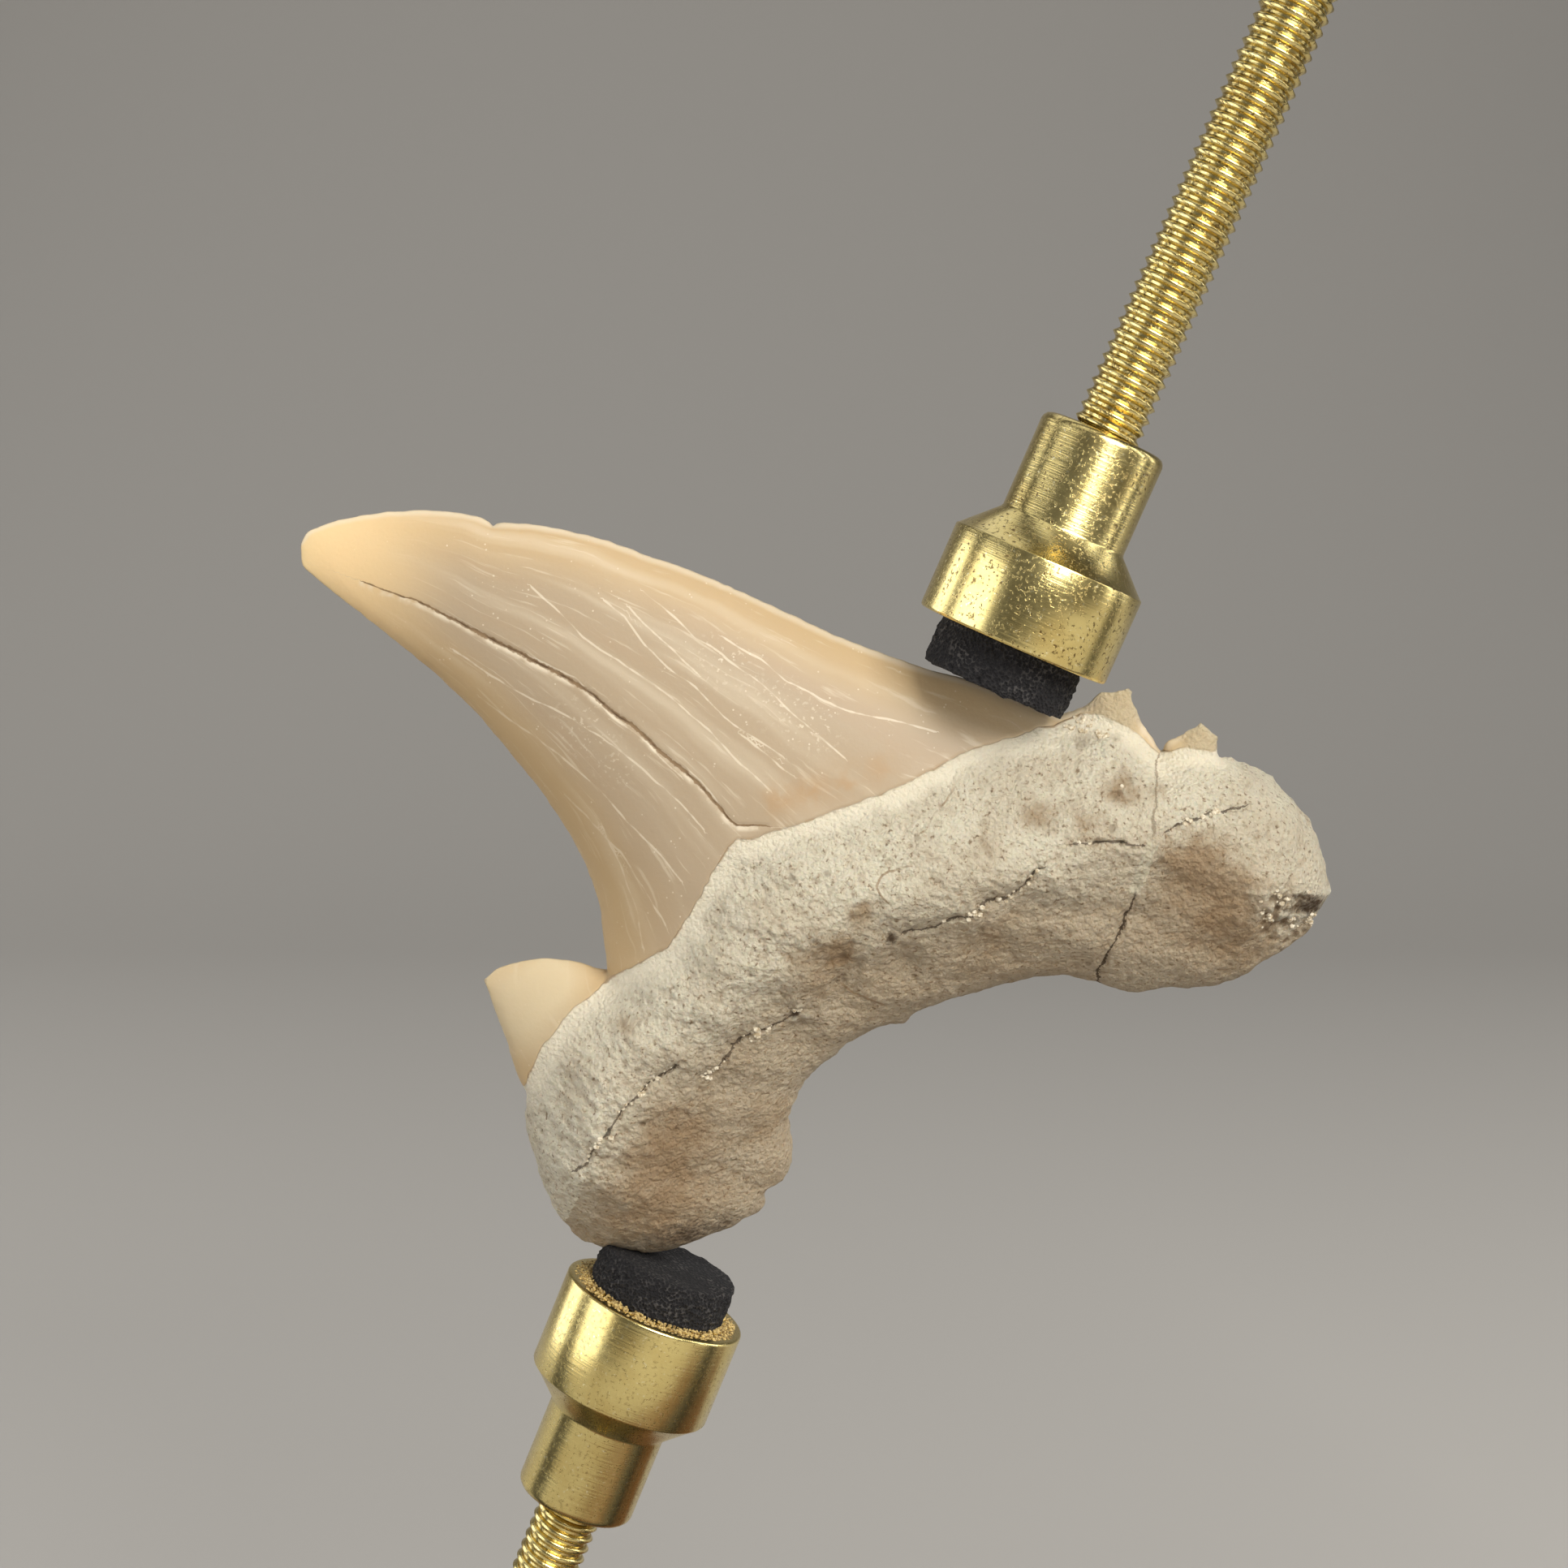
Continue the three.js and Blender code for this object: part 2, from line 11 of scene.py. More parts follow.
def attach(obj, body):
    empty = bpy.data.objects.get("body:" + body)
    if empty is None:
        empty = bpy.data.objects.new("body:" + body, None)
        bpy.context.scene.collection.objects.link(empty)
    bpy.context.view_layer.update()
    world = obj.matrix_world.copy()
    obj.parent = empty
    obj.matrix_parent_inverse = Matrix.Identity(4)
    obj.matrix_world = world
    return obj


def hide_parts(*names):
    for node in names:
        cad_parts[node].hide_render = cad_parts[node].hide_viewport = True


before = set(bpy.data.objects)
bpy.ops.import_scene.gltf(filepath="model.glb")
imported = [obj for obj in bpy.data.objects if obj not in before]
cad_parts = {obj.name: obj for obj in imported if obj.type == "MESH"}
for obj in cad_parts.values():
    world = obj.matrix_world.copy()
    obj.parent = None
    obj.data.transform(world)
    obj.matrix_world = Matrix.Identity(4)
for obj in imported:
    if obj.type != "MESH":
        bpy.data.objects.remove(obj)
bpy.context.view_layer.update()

mm = 0.001
print("stage: frame loaded,", len(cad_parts), "nodes")

# Where the pieces meet, in millimetres from the middle of the hoop, and their turns in degrees
place = {
    "hoopCentre": (0.0, 0.0, 95.0),
    "tooth": (-6.0, -1.45, 2.75),
    "toothTilt": 8.0,
    "upperFace": (6.5, -4.0, 10.9),
    "upperTurn": 23.5,
    "lowerFace": (-13.6, 4.0, -28.5),
    "lowerTurn": 202.0,
}


def frameMatrix(point, turn, axis):
    spot = (Vector(place["hoopCentre"]) + Vector(point)) * mm
    return Matrix.Translation(spot) @ Matrix.Rotation(math.radians(turn), 4, axis)


toothFrame = frameMatrix(place["tooth"], place["toothTilt"], "X")
upperFrame = frameMatrix(place["upperFace"], place["upperTurn"], "Y")
lowerFrame = frameMatrix(place["lowerFace"], place["lowerTurn"], "Y")


# An sRGB hex code as the linear colour that shaders and lamps take
def linearColor(hexCode):
    channels = [int(hexCode[i:i + 2], 16) / 255 for i in (1, 3, 5)]
    return [c / 12.92 if c <= 0.04045 else ((c + 0.055) / 1.055) ** 2.4 for c in channels] + [1.0]


def addNode(tree, kind, inputs=None, output=0, **settings):
    node = tree.nodes.new(kind)
    for name, value in settings.items():
        setattr(node, name, value)
    for key, value in (inputs or {}).items():
        if isinstance(value, bpy.types.NodeSocket):
            tree.links.new(value, node.inputs[key])
        else:
            node.inputs[key].default_value = value
    return node.outputs[output] if node.outputs else node


# Factors multiplied: a socket or number as it is, a tuple as a step of value, start, end, low and high
def productOf(tree, *factors, curve="SMOOTHSTEP"):
    product = None
    for factor in factors:
        if isinstance(factor, tuple):
            value, start, end, low, high = factor if len(factor) == 5 else (*factor, 0.0, 1.0)
            factor = addNode(tree, "ShaderNodeMapRange", {
                "Value": value, "From Min": start, "From Max": end, "To Min": low, "To Max": high,
            }, interpolation_type=curve)
        if product is None:
            product = factor
        else:
            product = addNode(tree, "ShaderNodeMath", {0: product, 1: factor}, operation="MULTIPLY")
    return product


# A base colour with others laid over it in turn, each as strong as the product of its factors
def layeredColor(tree, base, layers, curve="SMOOTHSTEP"):
    color = linearColor(base)
    for code, *factors in layers:
        color = addNode(tree, "ShaderNodeMix", {
            0: productOf(tree, *factors, curve=curve), 6: color, 7: linearColor(code),
        }, 2, data_type="RGBA")
    return color


# The object's own millimetres along a piece's frame, for patterns that follow the piece
def localMillimetres(tree, matrix=Matrix.Identity(4)):
    spot, turn, _ = matrix.decompose()
    return addNode(tree, "ShaderNodeMapping", {
        "Vector": addNode(tree, "ShaderNodeTexCoord", output="Object"),
        "Location": spot,
        "Rotation": turn.to_euler(),
        "Scale": (mm, mm, mm),
    }, vector_type="TEXTURE")


def newMaterial(name):
    material = bpy.data.materials.new(name)
    material.use_nodes = True
    material.node_tree.nodes.clear()
    return material, material.node_tree


def finishMaterial(tree, inputs):
    shader = addNode(tree, "ShaderNodeBsdfPrincipled", inputs)
    addNode(tree, "ShaderNodeOutputMaterial", {"Surface": shader})


def linkObject(name, data):
    made = bpy.data.objects.new(name, data)
    bpy.context.scene.collection.objects.link(made)
    return made


def shadeSmooth(mesh, sharpAngle):
    mesh.polygons.foreach_set("use_smooth", [True] * len(mesh.polygons))
    mesh.set_sharp_from_angle(angle=math.radians(sharpAngle))


def meshObject(name, points, faces, matrix=Matrix.Identity(4), sharpAngle=30):
    mesh = bpy.data.meshes.new(name)
    mesh.from_pydata((np.asarray(points, float) * mm).tolist(), [], [list(map(int, face)) for face in faces])
    work = bmesh.new()
    work.from_mesh(mesh)
    bmesh.ops.remove_doubles(work, verts=work.verts, dist=1e-7)
    bmesh.ops.recalc_face_normals(work, faces=work.faces)
    work.to_mesh(mesh)
    work.free()
    mesh.transform(matrix)
    shadeSmooth(mesh, sharpAngle)
    return linkObject(name, mesh)


def finishPiece(piece, material, body, node):
    piece.data.materials.clear()
    piece.data.materials.append(material)
    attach(piece, body)
    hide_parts(node)


def bakeModifiers(piece):
    bpy.context.view_layer.update()
    evaluated = piece.evaluated_get(bpy.context.evaluated_depsgraph_get())
    mesh = bpy.data.meshes.new_from_object(evaluated)
    piece.modifiers.clear()
    piece.data = mesh


# A tree's inputs are the mesh, the named sizes and the material
def newTree(name, sizes):
    tree = bpy.data.node_groups.new(name, "GeometryNodeTree")
    for label, kind in {"Geometry": "Geometry", **sizes, "Material": "Material"}.items():
        tree.interface.new_socket(label, in_out="INPUT", socket_type="NodeSocket" + kind)
    tree.interface.new_socket("Geometry", in_out="OUTPUT", socket_type="NodeSocketGeometry")
    return tree, addNode(tree, "NodeGroupInput").node.outputs


def finishTree(tree, given, shapes):
    joined = tree.nodes.new("GeometryNodeJoinGeometry")
    for shape in shapes:
        tree.links.new(shape, joined.inputs[0])
    real = addNode(tree, "GeometryNodeRealizeInstances", {"Geometry": joined.outputs[0]})
    painted = addNode(tree, "GeometryNodeSetMaterial", {"Geometry": real, "Material": given["Material"]})
    addNode(tree, "NodeGroupOutput", {"Geometry": painted})


def runTree(piece, tree, values):
    modifier = piece.modifiers.new(tree.name, "NODES")
    modifier.node_group = tree
    for item in tree.interface.items_tree:
        if item.in_out == "INPUT" and item.name in values:
            modifier[item.identifier] = values[item.name]
    bakeModifiers(piece)


# A shape turned about its axis, from (radius, height) pairs; an end radius of zero closes that end
def turnedShape(profile, segments=128):
    angles = np.arange(segments) * 2 * math.pi / segments
    points, rings = [], []
    for radius, height in profile:
        if radius == 0:
            rings.append([len(points)])
            points.append((0, 0, height))
        else:
            rings.append(list(range(len(points), len(points) + segments)))
            points += [(radius * math.cos(a), radius * math.sin(a), height) for a in angles]
    faces = []
    for low, high in zip(rings, rings[1:]):
        for k in range(segments):
            n = (k + 1) % segments
            corners = [low[k % len(low)], low[n % len(low)], high[n % len(high)], high[k % len(high)]]
            faces.append(list(dict.fromkeys(corners)))
    return points, faces


# The tooth, in its own frame: x to the viewer's right, z up, millimetres from its middle.
# Spots are x, z, radius and strength, and each family of lines sways a little in x and z.
tooth = {
    "frontSpacing": 0.132,
    "backSpacing": 0.3,
    "rimSpacing": 0.2,
    "rimRows": (0.05, 0.13, 0.24),
    "latticeWobble": 0.02,
    "crownFullness": 0.8,
    "crownEdgeEase": 8.0,
    "crownBackShare": 0.36,
    "rootFullness": 0.68,
    "rootBackFullness": 0.3,
    "rootSetBack": 2.2,
    "rootStart": (1.3, -2.6),
    "crestHeight": 1.9,
    "crestSpread": 3.4,
    "enamelStep": 0.14,
    "enamelEdge": 0.12,
    "rippleHeight": 0.16,
    "lumpHeight": 0.085,
    "sandHeight": 0.1,
    "rubbleHeight": 0.5,
    "enamelWaves": 0.015,
    "poreCount": 260,
    "poreRadius": (0.06, 0.12),
    "rimWear": {"crown": 0.035, "root": 0.11, "wornCusp": 0.13},
    "rimWearWidth": 0.4,
    "nick": {"x": -15.9, "z": 15.0, "depth": 0.3, "width": 0.15},
    # Marks are set where the eye, this far off and this much higher for each millimetre, sees them
    "eyeDistance": 156.0,
    "eyeRise": 0.26,
    "tipIndex": 9,
    "blade": [
        [-10.1, -10.9], [-10.2, -9.5], [-10.7, -5.9], [-12.6, -1.8], [-15.1, 1.7], [-17.9, 5.1],
        [-21.4, 8.3], [-25.4, 11.6], [-26.4, 12.6], [-26.5, 13.5], [-26.1, 14.4], [-25.3, 14.8],
        [-22.7, 15.4], [-20.1, 15.6], [-17.3, 15.4], [-15.9, 15.0], [-13.5, 14.8], [-10.2, 14.1],
        [-7.4, 13.1], [-4.9, 12.2], [-2.3, 11.1], [2.8, 8.7], [7.5, 6.9], [10.1, 6.2], [12.8, 5.2],
        [15.3, 4.1],
    ],
    # The rest of the outline, in stretches that meet at the corners of the small cusps
    "stretches": [
        [[15.3, 4.1], [16.5, 4.4], [17.2, 4.9], [18.2, 5.5], [19.1, 5.7]],
        [[19.1, 5.7], [19.7, 4.2], [20.3, 3.1], [21.2, 1.9]],
        [[21.2, 1.9], [21.4, 2.4], [22.1, 3.0], [23.2, 3.7]],
        [[23.2, 3.7], [23.8, 3.2], [24.2, 2.3], [24.5, 1.7]],
        [[24.5, 1.7], [25.8, 1.1], [27.2, 0.3], [29.0, -1.4], [30.3, -3.3], [31.0, -5.5],
         [31.4, -6.6], [30.6, -7.7], [30.3, -8.8], [29.3, -9.8], [27.9, -10.6], [26.4, -11.7],
         [24.8, -12.4], [22.1, -12.4], [20.0, -12.7], [18.6, -12.3], [16.9, -11.7], [15.7, -11.5],
         [14.2, -11.8], [11.9, -12.3], [9.5, -13.1], [7.5, -13.9], [7.1, -14.6], [5.9, -14.5],
         [4.7, -15.1], [2.5, -16.8], [1.0, -18.4], [0.3, -20.4]],
        [[0.3, -20.4], [0.4, -21.6], [0.5, -22.9], [0.1, -24.2], [-1.0, -25.1], [-1.3, -26.2],
         [-2.4, -26.9], [-3.9, -27.6], [-5.8, -28.5], [-7.5, -28.9], [-8.8, -28.9], [-11.1, -28.5],
         [-12.2, -28.0], [-13.3, -26.8], [-13.9, -25.3], [-14.9, -21.9], [-15.1, -20.1],
         [-15.0, -18.4]],
        [[-15.0, -18.4], [-15.9, -15.2], [-16.6, -13.0], [-17.1, -11.4]],
        [[-17.1, -11.4], [-16.3, -10.7], [-14.7, -10.2], [-13.1, -10.1], [-11.5, -10.4],
         [-10.1, -10.9]],
    ],
    "enamelLine": [
        [-16.2, -19.4], [-14.8, -17.6], [-13.8, -15.0], [-12.4, -13.1], [-9.6, -10.7], [-6.4, -8.3],
        [-5.0, -5.8], [-3.6, -3.1], [-2.6, -1.7], [-1.5, -1.6], [1.0, -0.7], [5.5, 0.8], [10.0, 2.7],
        [13.0, 3.4], [15.3, 3.8], [17.2, 4.3], [18.4, 4.0], [19.6, 3.2], [21.0, 1.9], [22.4, 2.4],
        [24.0, 2.0], [25.6, 2.4],
    ],
    "rootCrest": [
        [-11.0, -21.5], [-8.9, -15.8], [-5.2, -11.6], [-1.6, -8.4], [1.5, -5.8], [8.1, -3.7],
        [14.7, -2.2], [21.5, -1.2], [25.7, -2.6], [27.6, -5.0],
    ],
    # x, z, height and spread of the root's dimples and knobs
    "relief": [
        [-3.5, -22.5, -0.5, 2.6], [-8.5, -24.6, 0.35, 2.2], [-10.8, -18.0, 0.35, 1.8],
        [0.7, -13.2, -0.5, 1.2], [3.4, -10.8, -0.45, 1.3], [6.6, -8.8, -0.5, 1.1],
        [9.8, -5.2, 0.35, 2.4], [16.5, -8.4, 0.3, 2.2], [19.9, -6.6, -0.4, 0.9],
        [28.6, -7.9, -0.9, 1.5], [25.2, -5.6, 0.4, 2.4], [12.4, -9.6, -0.35, 1.6],
    ],
    "lines": {
        "crownCrack": {"sway": (0.3, 0.3), "paths": [
            [[-23.1, 11.6], [-20.3, 10.6], [-17.3, 9.0], [-14.5, 7.6], [-12.7, 6.6], [-10.6, 5.2],
             [-8.6, 3.6], [-6.8, 2.0], [-5.0, 0.4], [-3.7, -1.0], [-2.6, -2.2], [-1.0, -2.3]],
        ]},
        "rootCrack": {"sway": (1.0, -1.0), "paths": [
            [[-12.3, -22.9], [-11.0, -21.9], [-9.7, -20.5], [-9.2, -19.4], [-8.3, -18.5],
             [-7.3, -17.6], [-6.1, -16.8]],
            [[-4.7, -17.2], [-3.7, -16.4], [-2.8, -15.5], [-1.6, -14.7], [-0.4, -13.9], [0.8, -13.2]],
            [[6.9, -8.7], [8.3, -8.1], [9.9, -7.7], [11.6, -6.9], [13.2, -6.0], [14.8, -5.0]],
            [[16.4, -3.5], [18.3, -3.3], [20.1, -3.3]],
            [[21.5, -2.7], [22.9, -2.1], [24.5, -1.5], [26.1, -1.1]],
        ]},
        "mend": {"sway": (1.2, 0.0), "paths": [
            [[21.1, 2.2], [20.9, 0.9], [20.9, -1.0], [20.7, -2.4], [20.4, -4.4], [19.9, -6.6],
             [19.4, -8.1], [18.6, -9.5], [18.1, -11.0], [18.0, -11.6]],
        ]},
        "hair": {"sway": (0.25, 0.25), "paths": [
            [[-13.9, 11.4], [-12.6, 10.2], [-11.1, 8.6], [-9.3, 7.3], [-7.5, 6.0], [-6.0, 4.9],
             [-4.2, 3.3], [-2.4, 1.4], [-0.8, -0.2]],
            [[-9.9, 10.6], [-8.8, 9.7], [-7.7, 8.1], [-6.5, 6.8], [-4.9, 5.7], [-3.4, 4.1],
             [-1.6, 2.8], [0.0, 1.7]],
            [[-7.7, 11.1], [-6.2, 9.8], [-4.9, 8.6], [-3.4, 7.6], [-2.1, 6.6], [-0.8, 5.4],
             [0.5, 4.1], [1.8, 3.1], [3.4, 1.7]],
            [[-3.4, 8.6], [-1.3, 7.3], [0.2, 6.0], [2.3, 4.9], [4.4, 4.1], [6.5, 3.7], [8.4, 3.2]],
            [[-18.3, 7.8], [-16.5, 6.6], [-14.3, 5.2], [-12.2, 4.1], [-10.1, 2.8], [-7.8, 1.0],
             [-6.0, -0.7], [-4.5, -2.5]],
            [[-16.8, 5.2], [-14.8, 3.6], [-12.8, 2.0], [-10.7, 0.2], [-8.7, -2.1], [-6.8, -4.2],
             [-5.8, -5.5]],
            [[-12.3, -0.4], [-10.8, -2.1], [-9.2, -3.7], [-7.9, -5.9], [-6.6, -8.4]],
            [[-10.2, -2.3], [-9.2, -4.5], [-8.3, -7.3], [-8.0, -9.5]],
            [[-2.4, 3.1], [-0.8, 1.7], [0.5, 0.6]],
            [[-6.0, 1.7], [-4.7, 0.4], [-3.7, -0.8]],
            [[-14.2, 7.6], [-11.6, 6.2], [-9.6, 4.1], [-7.6, 2.5], [-5.8, 0.6]],
            [[-8.5, 10.2], [-6.7, 8.3], [-4.8, 6.5]],
        ]},
        "vein": {"sway": (1.0, -1.0), "paths": [
            [[7.1, -4.8], [6.1, -5.1], [5.2, -5.8], [5.4, -6.3], [5.8, -6.7]],
            [[3.1, -8.7], [2.8, -9.5], [2.7, -10.4]],
            [[3.1, -11.4], [3.9, -12.1], [4.6, -12.4], [5.8, -12.9]],
            [[10.6, 1.9], [9.9, 0.8], [9.5, -0.3], [8.6, -1.6], [7.8, -2.8]],
        ]},
    },
    "cusps": [
        [-15.5, -13.0, 2.8, 1.2], [-13.0, -11.0, 1.6, 1.0], [18.6, 4.6, 1.8, 1.2], [23.4, 2.7, 1.5, 1.2],
    ],
    "wornCusps": [[18.4, 4.6, 2.0, 1.3], [23.4, 2.7, 1.5, 1.2]],
    "broken": [
        [28.7, -7.5, 1.8, 1.0], [16.0, 3.4, 1.1, 1.0], [17.3, 3.5, 1.0, 1.0], [18.6, 2.9, 0.9, 0.8],
        [18.9, -0.1, 1.0, 0.5], [3.4, -10.8, 1.4, 0.4], [0.6, -13.4, 1.2, 0.4],
    ],
    "stains": {
        "dark": [
            [-7.8, -27.4, 1.5, 0.55], [-5.5, -27.0, 1.5, 0.75], [-3.4, -26.3, 1.0, 0.6],
            [28.7, -7.5, 1.7, 0.6], [24.0, -9.8, 1.3, 0.45], [6.1, -8.9, 0.5, 1.0],
            [0.6, -13.4, 0.5, 0.9], [3.0, -11.4, 0.5, 0.6], [30.2, -6.8, 1.0, 0.7],
        ],
        # Ochre stains; the spots at (22.4, -4.2) and (1.6, -11.0) are painted shade under the crest, where
        # the root turns away from the light
        "ochre": [
            [-8.0, -25.0, 4.0, 0.7], [-1.0, -20.0, 2.6, 0.4], [4.4, -7.6, 1.0, 0.8],
            [3.2, -9.6, 1.0, 0.8], [14.2, -1.6, 1.0, 0.7], [11.4, -3.6, 1.2, 0.5],
            [25.5, -8.6, 3.5, 0.55], [22.4, -4.2, 1.8, 0.5], [24.6, -5.4, 3.2, 0.5],
            [16.8, -2.2, 1.9, 0.55], [-6.4, -20.9, 2.6, 0.6], [1.6, -11.0, 2.0, 0.6],
            [-9.0, -14.0, 1.0, 0.5], [12.0, -9.8, 3.5, 0.45], [21.0, -0.2, 0.6, 0.7],
            [18.9, -0.1, 1.0, 0.9], [17.2, 3.7, 1.2, 0.4],
        ],
        "crownStain": [
            [-0.3, -0.8, 0.9, 1.0], [1.5, -0.3, 0.9, 1.0], [3.4, 0.3, 0.9, 0.9], [5.4, 1.1, 0.9, 0.7],
        ],
        "crownChip": [
            [-3.3, 7.2, 1.3, 0.9], [-0.4, 4.9, 1.2, 0.7], [1.6, 3.4, 1.2, 0.9], [-11.0, 3.6, 1.6, 0.6],
            [-9.4, 1.2, 1.0, 0.5],
        ],
    },
    # The sizes of the colours' patterns in millimetres, and the streaks counted across the crown
    "sizes": {
        "broad": 4.5455, "middle": 1.1111, "fine": 0.25, "dust": 0.38462, "grain": 0.29412, "pebble": 0.2381,
    },
    "wideStreaks": 9.0,
    "hairStreaks": 70.0,
    "colors": {
        "crownRim": "#b99f78",
        "crownMiddle": "#a8957b",
        "crownStreak": "#ddd0b8",
        "crownTip": "#e6c795",
        "crownDull": "#a68d70",
        "crownConcaveShade": "#b2976e",
        "cusp": "#c6b594",
        "crackDark": "#4b3623",
        "crackBrown": "#755836",
        "neck": "#e4dac2",
        "rootPale": "#f3e9cf",
        "rootOchreAndShade": "#aa8b66",
        "rootDark": "#5b4936",
        "mend": "#e6dcc0",
    },
}


def smoothStep(start, end, value):
    t = np.clip((value - start) / (end - start), 0, 1)
    return t * t * (3 - 2 * t)


# One in the middle, fading to nothing past its width
def hump(distance, width):
    return np.exp(-((distance / width) ** 2))


# Curves through given points, resampled at an even spacing
def curveThrough(line, spacing):
    p = np.array(line, float)
    p = np.vstack([2 * p[0] - p[1], p, 2 * p[-1] - p[-2]])
    steps = np.maximum(np.linalg.norm(np.diff(p, axis=0), axis=1) ** 0.5, 1e-4)[:, None]
    t = np.linspace(0, 1, 24, endpoint=False)[:, None]
    dense = []
    for i in range(1, len(p) - 2):
        d0, d1, d2 = steps[i - 1], steps[i], steps[i + 1]
        m0 = ((p[i] - p[i - 1]) / d0 - (p[i + 1] - p[i - 1]) / (d0 + d1) + (p[i + 1] - p[i]) / d1) * d1
        m1 = ((p[i + 1] - p[i]) / d1 - (p[i + 2] - p[i]) / (d1 + d2) + (p[i + 2] - p[i + 1]) / d2) * d1
        dense.append((2 * t**3 - 3 * t**2 + 1) * p[i] + (t**3 - 2 * t**2 + t) * m0
                     + (3 * t**2 - 2 * t**3) * p[i + 1] + (t**3 - t**2) * m1)
    dense = np.vstack(dense + [p[-2][None]])
    along = np.concatenate([[0], np.cumsum(np.linalg.norm(np.diff(dense, axis=0), axis=1))])
    even = np.linspace(0, along[-1], max(2, round(along[-1] / spacing)) + 1)
    return np.column_stack([np.interp(even, along, dense[:, k]) for k in (0, 1)])


# Distance to a line of points; plus on its left, going along it
def lineDistance(x, z, line):
    best = np.full(x.shape, np.inf)
    side = np.ones(x.shape)
    for (ax, az), (bx, bz) in zip(line[:-1], line[1:]):
        dx, dz = bx - ax, bz - az
        t = np.clip(((x - ax) * dx + (z - az) * dz) / (dx * dx + dz * dz), 0, 1)
        distance = np.hypot(x - ax - t * dx, z - az - t * dz)
        nearer = distance < best
        best = np.where(nearer, distance, best)
        side = np.where(nearer, np.where(dx * (z - az) - dz * (x - ax) >= 0, 1, -1), side)
    return best * side


def nearestLine(x, z, lines):
    distances = np.array([lineDistance(x, z, line) for line in lines])
    return np.take_along_axis(distances, np.abs(distances).argmin(axis=0)[None], 0)[0]


def rimDistance(x, z, outline):
    return np.abs(lineDistance(x, z, np.vstack([outline, outline[:1]])))


def insideOutline(x, z, outline):
    inside = np.zeros(x.shape, bool)
    for (ax, az), (bx, bz) in zip(outline, np.roll(outline, -1, axis=0)):
        if az != bz:
            inside ^= ((az > z) != (bz > z)) & (x < (bx - ax) * (z - az) / (bz - az) + ax)
    return inside


# Smooth random bumps of a given size, and several sizes of them added up
def bumps(x, z, size, seed):
    table = np.random.default_rng(seed).uniform(-1, 1, (256, 256))
    turn = seed * 0.7
    u = (x * math.cos(turn) - z * math.sin(turn)) / size + seed * 3.1
    v = (x * math.sin(turn) + z * math.cos(turn)) / size
    i, j = np.floor(u).astype(int), np.floor(v).astype(int)
    fu, fv = smoothStep(0, 1, u - i), smoothStep(0, 1, v - j)
    corner = [[table[(i + a) % 256, (j + b) % 256] for b in (0, 1)] for a in (0, 1)]
    return ((corner[0][0] * (1 - fu) + corner[1][0] * fu) * (1 - fv)
            + (corner[0][1] * (1 - fu) + corner[1][1] * fu) * fv)


def roughness(x, z, size, octaves, seed):
    return sum(bumps(x, z, size / 2**k, seed + k) / 1.7**k for k in range(octaves))


def blotches(x, z, spots):
    return np.clip(sum(strength * hump(np.hypot(x - cx, z - cz), r) for cx, cz, r, strength in spots), 0, 1)


# The outline, then rows inside the rim and an even lattice, as triangles
def toothSheet(outline, spacing):
    rows = [outline]
    along = np.roll(outline, -1, axis=0) - np.roll(outline, 1, axis=0)
    inwards = np.column_stack([along[:, 1], -along[:, 0]]) / np.linalg.norm(along, axis=1)[:, None]
    for depth in tooth["rimRows"]:
        x, z = (outline + inwards * depth).T
        clear = insideOutline(x, z, outline) & (rimDistance(x, z, outline) > 0.9 * depth)
        rows.append(np.column_stack([x[clear], z[clear]]))
    low, high = outline.min(0), outline.max(0)
    rowHeight = spacing * math.sqrt(3) / 2
    j, i = np.mgrid[0:int((high[1] - low[1]) / rowHeight) + 1, 0:int((high[0] - low[0]) / spacing) + 1]
    wobble = tooth["latticeWobble"]
    x = (low[0] + (i + 0.5 * (j % 2)) * spacing + wobble * np.sin(7.0 * i + 3.0 * j)).ravel()
    z = (low[1] + j * rowHeight + wobble * np.sin(5.0 * i + 9.0 * j)).ravel()
    keep = insideOutline(x, z, outline)
    x, z = x[keep], z[keep]
    clear = rimDistance(x, z, outline) > tooth["rimRows"][-1] + 0.5 * spacing
    points = np.vstack(rows + [np.column_stack([x[clear], z[clear]])])
    rim = [list(range(len(outline)))]
    made = geometry.delaunay_2d_cdt([Vector(p) for p in points], [], rim, 1, 1e-7, False)
    if len(made[0]) != len(points):
        raise ValueError("the tooth's points were merged")
    triangles = np.array(made[2])
    middles = points[triangles].mean(axis=1)
    return points, triangles[insideOutline(middles[:, 0], middles[:, 1], outline)]


# How far a skin blown up over the outline would rise: zero at the rim, near the half width in the middle
def swellOf(points, triangles, rimCount, rounds=1500, close=1e-12):
    rows, columns, weights = [], [], []
    load = np.zeros(len(points))
    for k in range(3):
        a, b, c = (triangles[:, (k + n) % 3] for n in range(3))
        p, q = points[a] - points[c], points[b] - points[c]
        cross = np.abs(p[:, 0] * q[:, 1] - p[:, 1] * q[:, 0])
        weight = (p * q).sum(1) / (2 * np.maximum(cross, 1e-9))
        rows += [a, b]
        columns += [b, a]
        weights += [weight, weight]
        load += np.bincount(a, cross / 6, len(points))
    rows, columns, weights = map(np.concatenate, (rows, columns, weights))
    total = np.bincount(rows, weights, len(points))
    free = np.arange(len(points)) >= rimCount
    lift = np.zeros(len(points))
    residual = np.where(free, load, 0)
    scaled = np.where(free, residual / total, 0)
    step = scaled.copy()
    strength = residual @ scaled
    for _ in range(rounds):
        pulled = np.where(free, total * step - np.bincount(rows, weights * step[columns], len(points)), 0)
        amount = strength / (step @ pulled)
        lift += amount * step
        residual -= amount * pulled
        scaled = np.where(free, residual / total, 0)
        renewed = residual @ scaled
        if renewed < close * max(load.sum(), 1):
            break
        step = scaled + renewed / strength * step
        strength = renewed
    return np.sqrt(2 * np.maximum(lift, 0))


